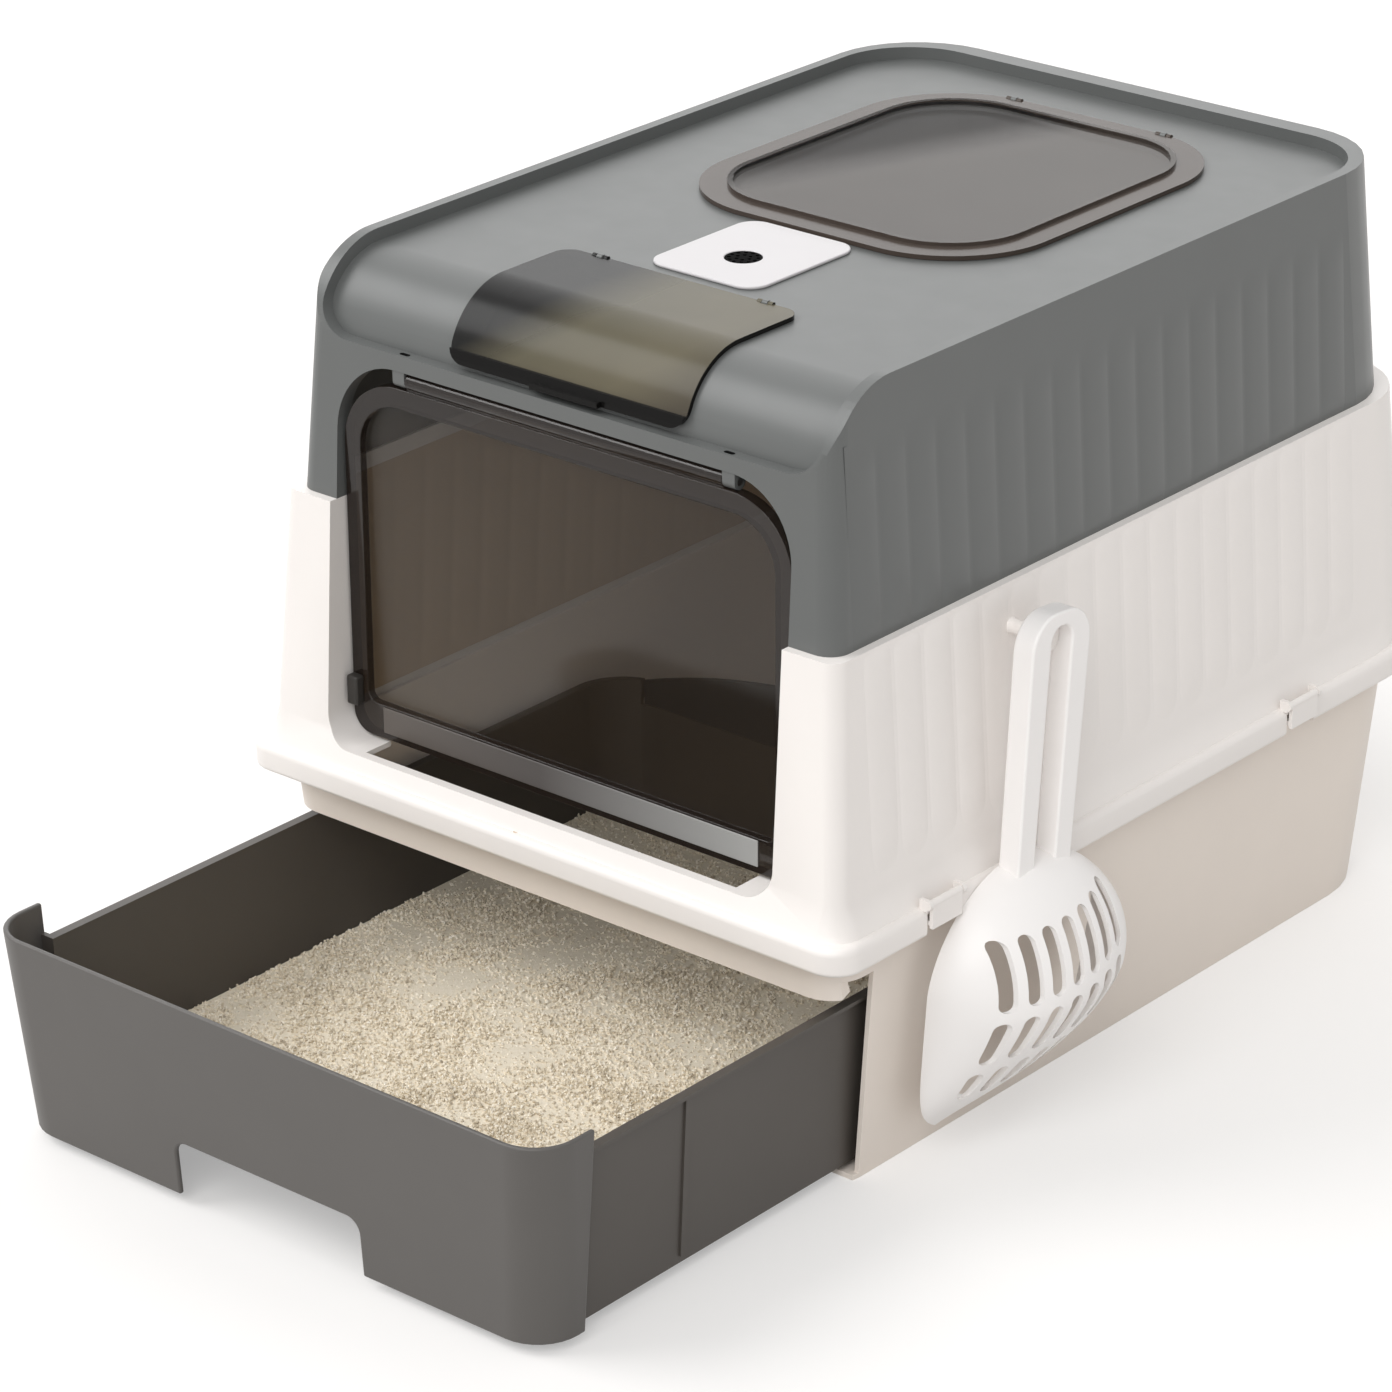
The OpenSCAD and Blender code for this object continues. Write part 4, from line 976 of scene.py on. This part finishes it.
# %% [markdown]
# ## Litter
# Crushed clay granules are one to three millimetres across, and angular. The CAD
# block gives their bulk. A Geometry Nodes tree scatters small eight-sided grains
# over the block's top, lifts them by a broad noise so that the surface rolls a
# little, turns and sizes each one at random from a fixed seed, and stores a
# random tone in it for the material.

# %% The litter tree
def litter_tree():
    """Grains of a named density and size on a face. The random nodes' numbered sockets
    are their lowest and highest value."""
    tree = bpy.data.node_groups.new("scattered_granules", "GeometryNodeTree")
    face = tree.interface
    face.new_socket("Geometry", in_out="OUTPUT", socket_type="NodeSocketGeometry")
    face.new_socket("Geometry", in_out="INPUT", socket_type="NodeSocketGeometry")
    for label in ("Density", "Grain", "Swell"):
        face.new_socket(label, in_out="INPUT", socket_type="NodeSocketFloat")
    face.new_socket("Seed", in_out="INPUT", socket_type="NodeSocketInt")
    face.new_socket("Finish", in_out="INPUT", socket_type="NodeSocketMaterial")
    given = add(tree, "NodeGroupInput").outputs
    points = add(tree, "GeometryNodeDistributePointsOnFaces",
                 {"Mesh": given["Geometry"], "Density": given["Density"], "Seed": given["Seed"]})
    roll = add(tree, "ShaderNodeTexNoise", {"Scale": 1 / 0.05, "Detail": 2.0})
    jitter = add(tree, "FunctionNodeRandomValue", {2: -0.0006, 3: 0.0008, "Seed": given["Seed"]})
    lift = add(tree, "ShaderNodeMath",
               {0: add(tree, "ShaderNodeMath", {0: roll.outputs["Fac"], 1: 0.5},
                       operation="SUBTRACT").outputs[0], 1: given["Swell"],
                2: jitter.outputs[1]}, operation="MULTIPLY_ADD")
    lifted = add(tree, "GeometryNodeSetPosition",
                 {"Geometry": points.outputs["Points"],
                  "Offset": add(tree, "ShaderNodeCombineXYZ", {"Z": lift.outputs[0]}).outputs[0]})
    grain = add(tree, "GeometryNodeMeshUVSphere", {"Segments": 4, "Rings": 2, "Radius": 0.5})
    turn = add(tree, "FunctionNodeRandomValue",
               {0: (0, 0, 0), 1: (6.28, 6.28, 6.28), "Seed": given["Seed"]},
               data_type="FLOAT_VECTOR")
    size = add(tree, "FunctionNodeRandomValue",
               {0: (0.55, 0.55, 0.5), 1: (1.4, 1.2, 1.0), "Seed": given["Seed"]},
               data_type="FLOAT_VECTOR")
    scale = add(tree, "ShaderNodeVectorMath", {0: size.outputs[0], "Scale": given["Grain"]},
                operation="SCALE")
    grains = add(tree, "GeometryNodeInstanceOnPoints",
                 {"Points": lifted.outputs[0], "Instance": grain.outputs["Mesh"],
                  "Rotation": turn.outputs[0], "Scale": scale.outputs[0]})
    tone = add(tree, "FunctionNodeRandomValue", {2: 0.0, 3: 1.0, "Seed": 7})
    toned = add(tree, "GeometryNodeStoreNamedAttribute",
                {"Geometry": grains.outputs[0], "Name": "grain_tone", "Value": tone.outputs[1]},
                data_type="FLOAT", domain="INSTANCE")
    real = add(tree, "GeometryNodeRealizeInstances", {"Geometry": toned.outputs[0]})
    dressed = add(tree, "GeometryNodeSetMaterial",
                  {"Geometry": real.outputs[0], "Material": given["Finish"]})
    add(tree, "NodeGroupOutput", {"Geometry": dressed.outputs[0]})
    return tree


granules = litter_tree()
print("litter tree nodes:", len(granules.nodes))

# %% [markdown]
# The granules are grown in three strips, which keeps each mesh light enough. The
# CAD block stays under them as a bed of the same clay, so that no gap shows.

# %% Fill the drawer
bed = piece("litter_bed", welded("litter_fill"), clay_bed)
settle(bed, "drawer", "litter", "litter_fill")
bed_low, bed_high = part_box("litter_fill")
GRAIN, SWELL = 2.3, 6.0  # mm
STRIPS = (330000.0, 330000.0, 200000.0)  # grains per square metre, fewer deep inside


def litter_top(y0, y1):
    """The bed's top face between y0 and y1, as a mesh to scatter on."""
    bm = bmesh.new()
    bm.from_mesh(bed.data)
    level = bed_high.z - 0.5 * MM
    low = [f for f in bm.faces if f.normal.z < 0.9 or f.calc_center_median().z < level]
    bmesh.ops.delete(bm, geom=low, context="FACES")
    for y, keep_above in ((y0, True), (y1, False)):
        slice_through(bm, (0, y, 0), (0, 1, 0), clear_inner=keep_above,
                      clear_outer=not keep_above)
    mesh = bpy.data.meshes.new("litter_top")
    bm.to_mesh(mesh)
    bm.free()
    return mesh


for k, density in enumerate(STRIPS):
    y0, y1 = (bed_low.y + (bed_high.y - bed_low.y) * n / len(STRIPS) for n in (k, k + 1))
    grains = grown(f"litter_granules_{k + 1}", granules, litter_top(y0, y1), density=density,
                   grain=GRAIN * MM, swell=SWELL * MM, seed=k + 3, finish=clay_grain)
    settle(grains, "drawer", "litter")

# %% [markdown]
# ## Finishes for the pieces that stay as they are
# Pins, glides, pads and the filter's inner parts have the right shape in CAD, so
# only their material slots change.

# %% Dress the CAD pieces that stay
STAYING = {
    "grip_pads": pad_rubber, "clip_pins": white_pp, "skylight_pins": grey_pp,
    "flap_pin": grey_pp, "door_axle": pin_steel, "vent_grille": black_pp,
    "filter_basket": grey_pp, "filter_pad": carbon_felt, "drawer_glides": glide_acetal,
}
for node_name, material in STAYING.items():
    mesh = nodes[node_name].data
    mesh.materials.clear()
    mesh.materials.append(material)
print("CAD pieces that stay:", len(STAYING))

# %% [markdown]
# ## Floor, light and camera
# The floor and the background are a plain white sweep. A soft key stands high at
# the front right, a second lamp at the front left lights the brow, and a third at
# the rear left gives the roof its sheen, while the sky fills from all sides. All
# are kept at a level where a colour shows about as it is written. The floor glows
# a little, but only where it is seen, straight, in a gloss or through a sheet, so
# that it reads white, still takes the shadow, and puts no light on the box's sides.

# %% The floor
FLOOR_HALF = 6.0


def seen_rays(tree):
    """1 for a ray that shows the background, straight, in a gloss or through a sheet, else 0."""
    path = add(tree, "ShaderNodeLightPath")
    seen = add(tree, "ShaderNodeMath", {0: path.outputs["Is Camera Ray"],
                                        1: path.outputs["Is Glossy Ray"]}, operation="ADD")
    seen = add(tree, "ShaderNodeMath", {0: seen.outputs[0], 1: path.outputs["Is Transmission Ray"]},
               operation="ADD", use_clamp=True)
    return seen.outputs[0]


def white_sweep(name):
    """Grey-white paper that glows for those rays only."""
    mat = bpy.data.materials.new(name)
    mat.use_nodes = True
    tree = mat.node_tree
    tree.nodes.clear()
    paper = add(tree, "ShaderNodeBsdfDiffuse", {"Color": linear("#d2d0ce")})
    strength = add(tree, "ShaderNodeMath", {0: seen_rays(tree), 1: 0.35}, operation="MULTIPLY")
    glow = add(tree, "ShaderNodeEmission", {"Strength": strength.outputs[0]})
    both = add(tree, "ShaderNodeAddShader", {0: paper.outputs[0], 1: glow.outputs[0]})
    add(tree, "ShaderNodeOutputMaterial", {"Surface": both.outputs[0]})
    return mat


sweep = bmesh.new()
bmesh.ops.create_grid(sweep, x_segments=4, y_segments=4, size=FLOOR_HALF)
floor = piece("studio_floor", sweep, white_sweep("white_sweep"))
print("floor, metres across:", 2 * FLOOR_HALF)

# %% [markdown]
# The sky is white where it is seen and dimmer where it only lights the object. The
# lamps are suns with a wide spread, which gives soft shadows at any distance.

# %% Sky and lamps
SKY_LIGHT, SKY_SEEN = 0.58, 1.0
LAMPS = [  # name, strength, spread in degrees, direction of its light
    ("front_key", 1.17, 40, (-0.30, 0.71, -0.64)),
    ("brow_light", 1.34, 36, (0.594, 0.407, -0.694)),
    ("back_sheen", 0.6, 60, (0.55, -0.62, -0.56)),
]
world = bpy.data.worlds.new("studio")
bpy.context.scene.world = world
world.use_nodes = True
tree = world.node_tree
tree.nodes.clear()
level = add(tree, "ShaderNodeMapRange",
            {"Value": seen_rays(tree), "To Min": SKY_LIGHT, "To Max": SKY_SEEN})
sky = add(tree, "ShaderNodeBackground",
          {"Color": (1, 1, 1, 1), "Strength": level.outputs["Result"]})
add(tree, "ShaderNodeOutputWorld", {"Surface": sky.outputs[0]})

for name, energy, spread, towards in LAMPS:
    lamp = bpy.data.lights.new(name, "SUN")
    lamp.energy = energy
    lamp.angle = math.radians(spread)
    placed = bpy.data.objects.new(name, lamp)
    placed.rotation_mode = "QUATERNION"
    placed.rotation_quaternion = Vector(towards).to_track_quat("-Z", "Y")
    bpy.context.scene.collection.objects.link(placed)
print("lamps:", len(LAMPS))

# %% [markdown]
# The camera stands at the front right, looks down on the box, and uses a long lens
# from about three metres off, so that upright edges stay nearly upright.

# %% The camera
PICTURE, FOCAL, SENSOR = 1392, 5307.425, 36  # pixels, pixels, mm
AROUND, ABOVE, ROLL = 40.585, 23.989, -0.462  # degrees
STAND = (1.656456, -2.077848, 1.319062)  # metres
cam_data = bpy.data.cameras.new("front_right")
cam_data.lens = SENSOR * FOCAL / PICTURE
cam_data.sensor_width = SENSOR
cam_data.clip_end = 50
cam = bpy.data.objects.new("front_right", cam_data)
bpy.context.scene.collection.objects.link(cam)
around, above, roll = (math.radians(v) for v in (AROUND, ABOVE, ROLL))
back = Vector((math.sin(around) * math.cos(above), -math.cos(around) * math.cos(above),
               math.sin(above)))
level_right = Vector((math.cos(around), math.sin(around), 0))
level_up = back.cross(level_right)
right = math.cos(roll) * level_right + math.sin(roll) * level_up
up = -math.sin(roll) * level_right + math.cos(roll) * level_up
rows = [(right[k], up[k], back[k], STAND[k]) for k in range(3)]
cam.matrix_world = Matrix(rows + [(0, 0, 0, 1)])
bpy.context.scene.camera = cam
bpy.context.scene.view_settings.view_transform = "Standard"
print("camera", [round(v, 3) for v in cam.location])
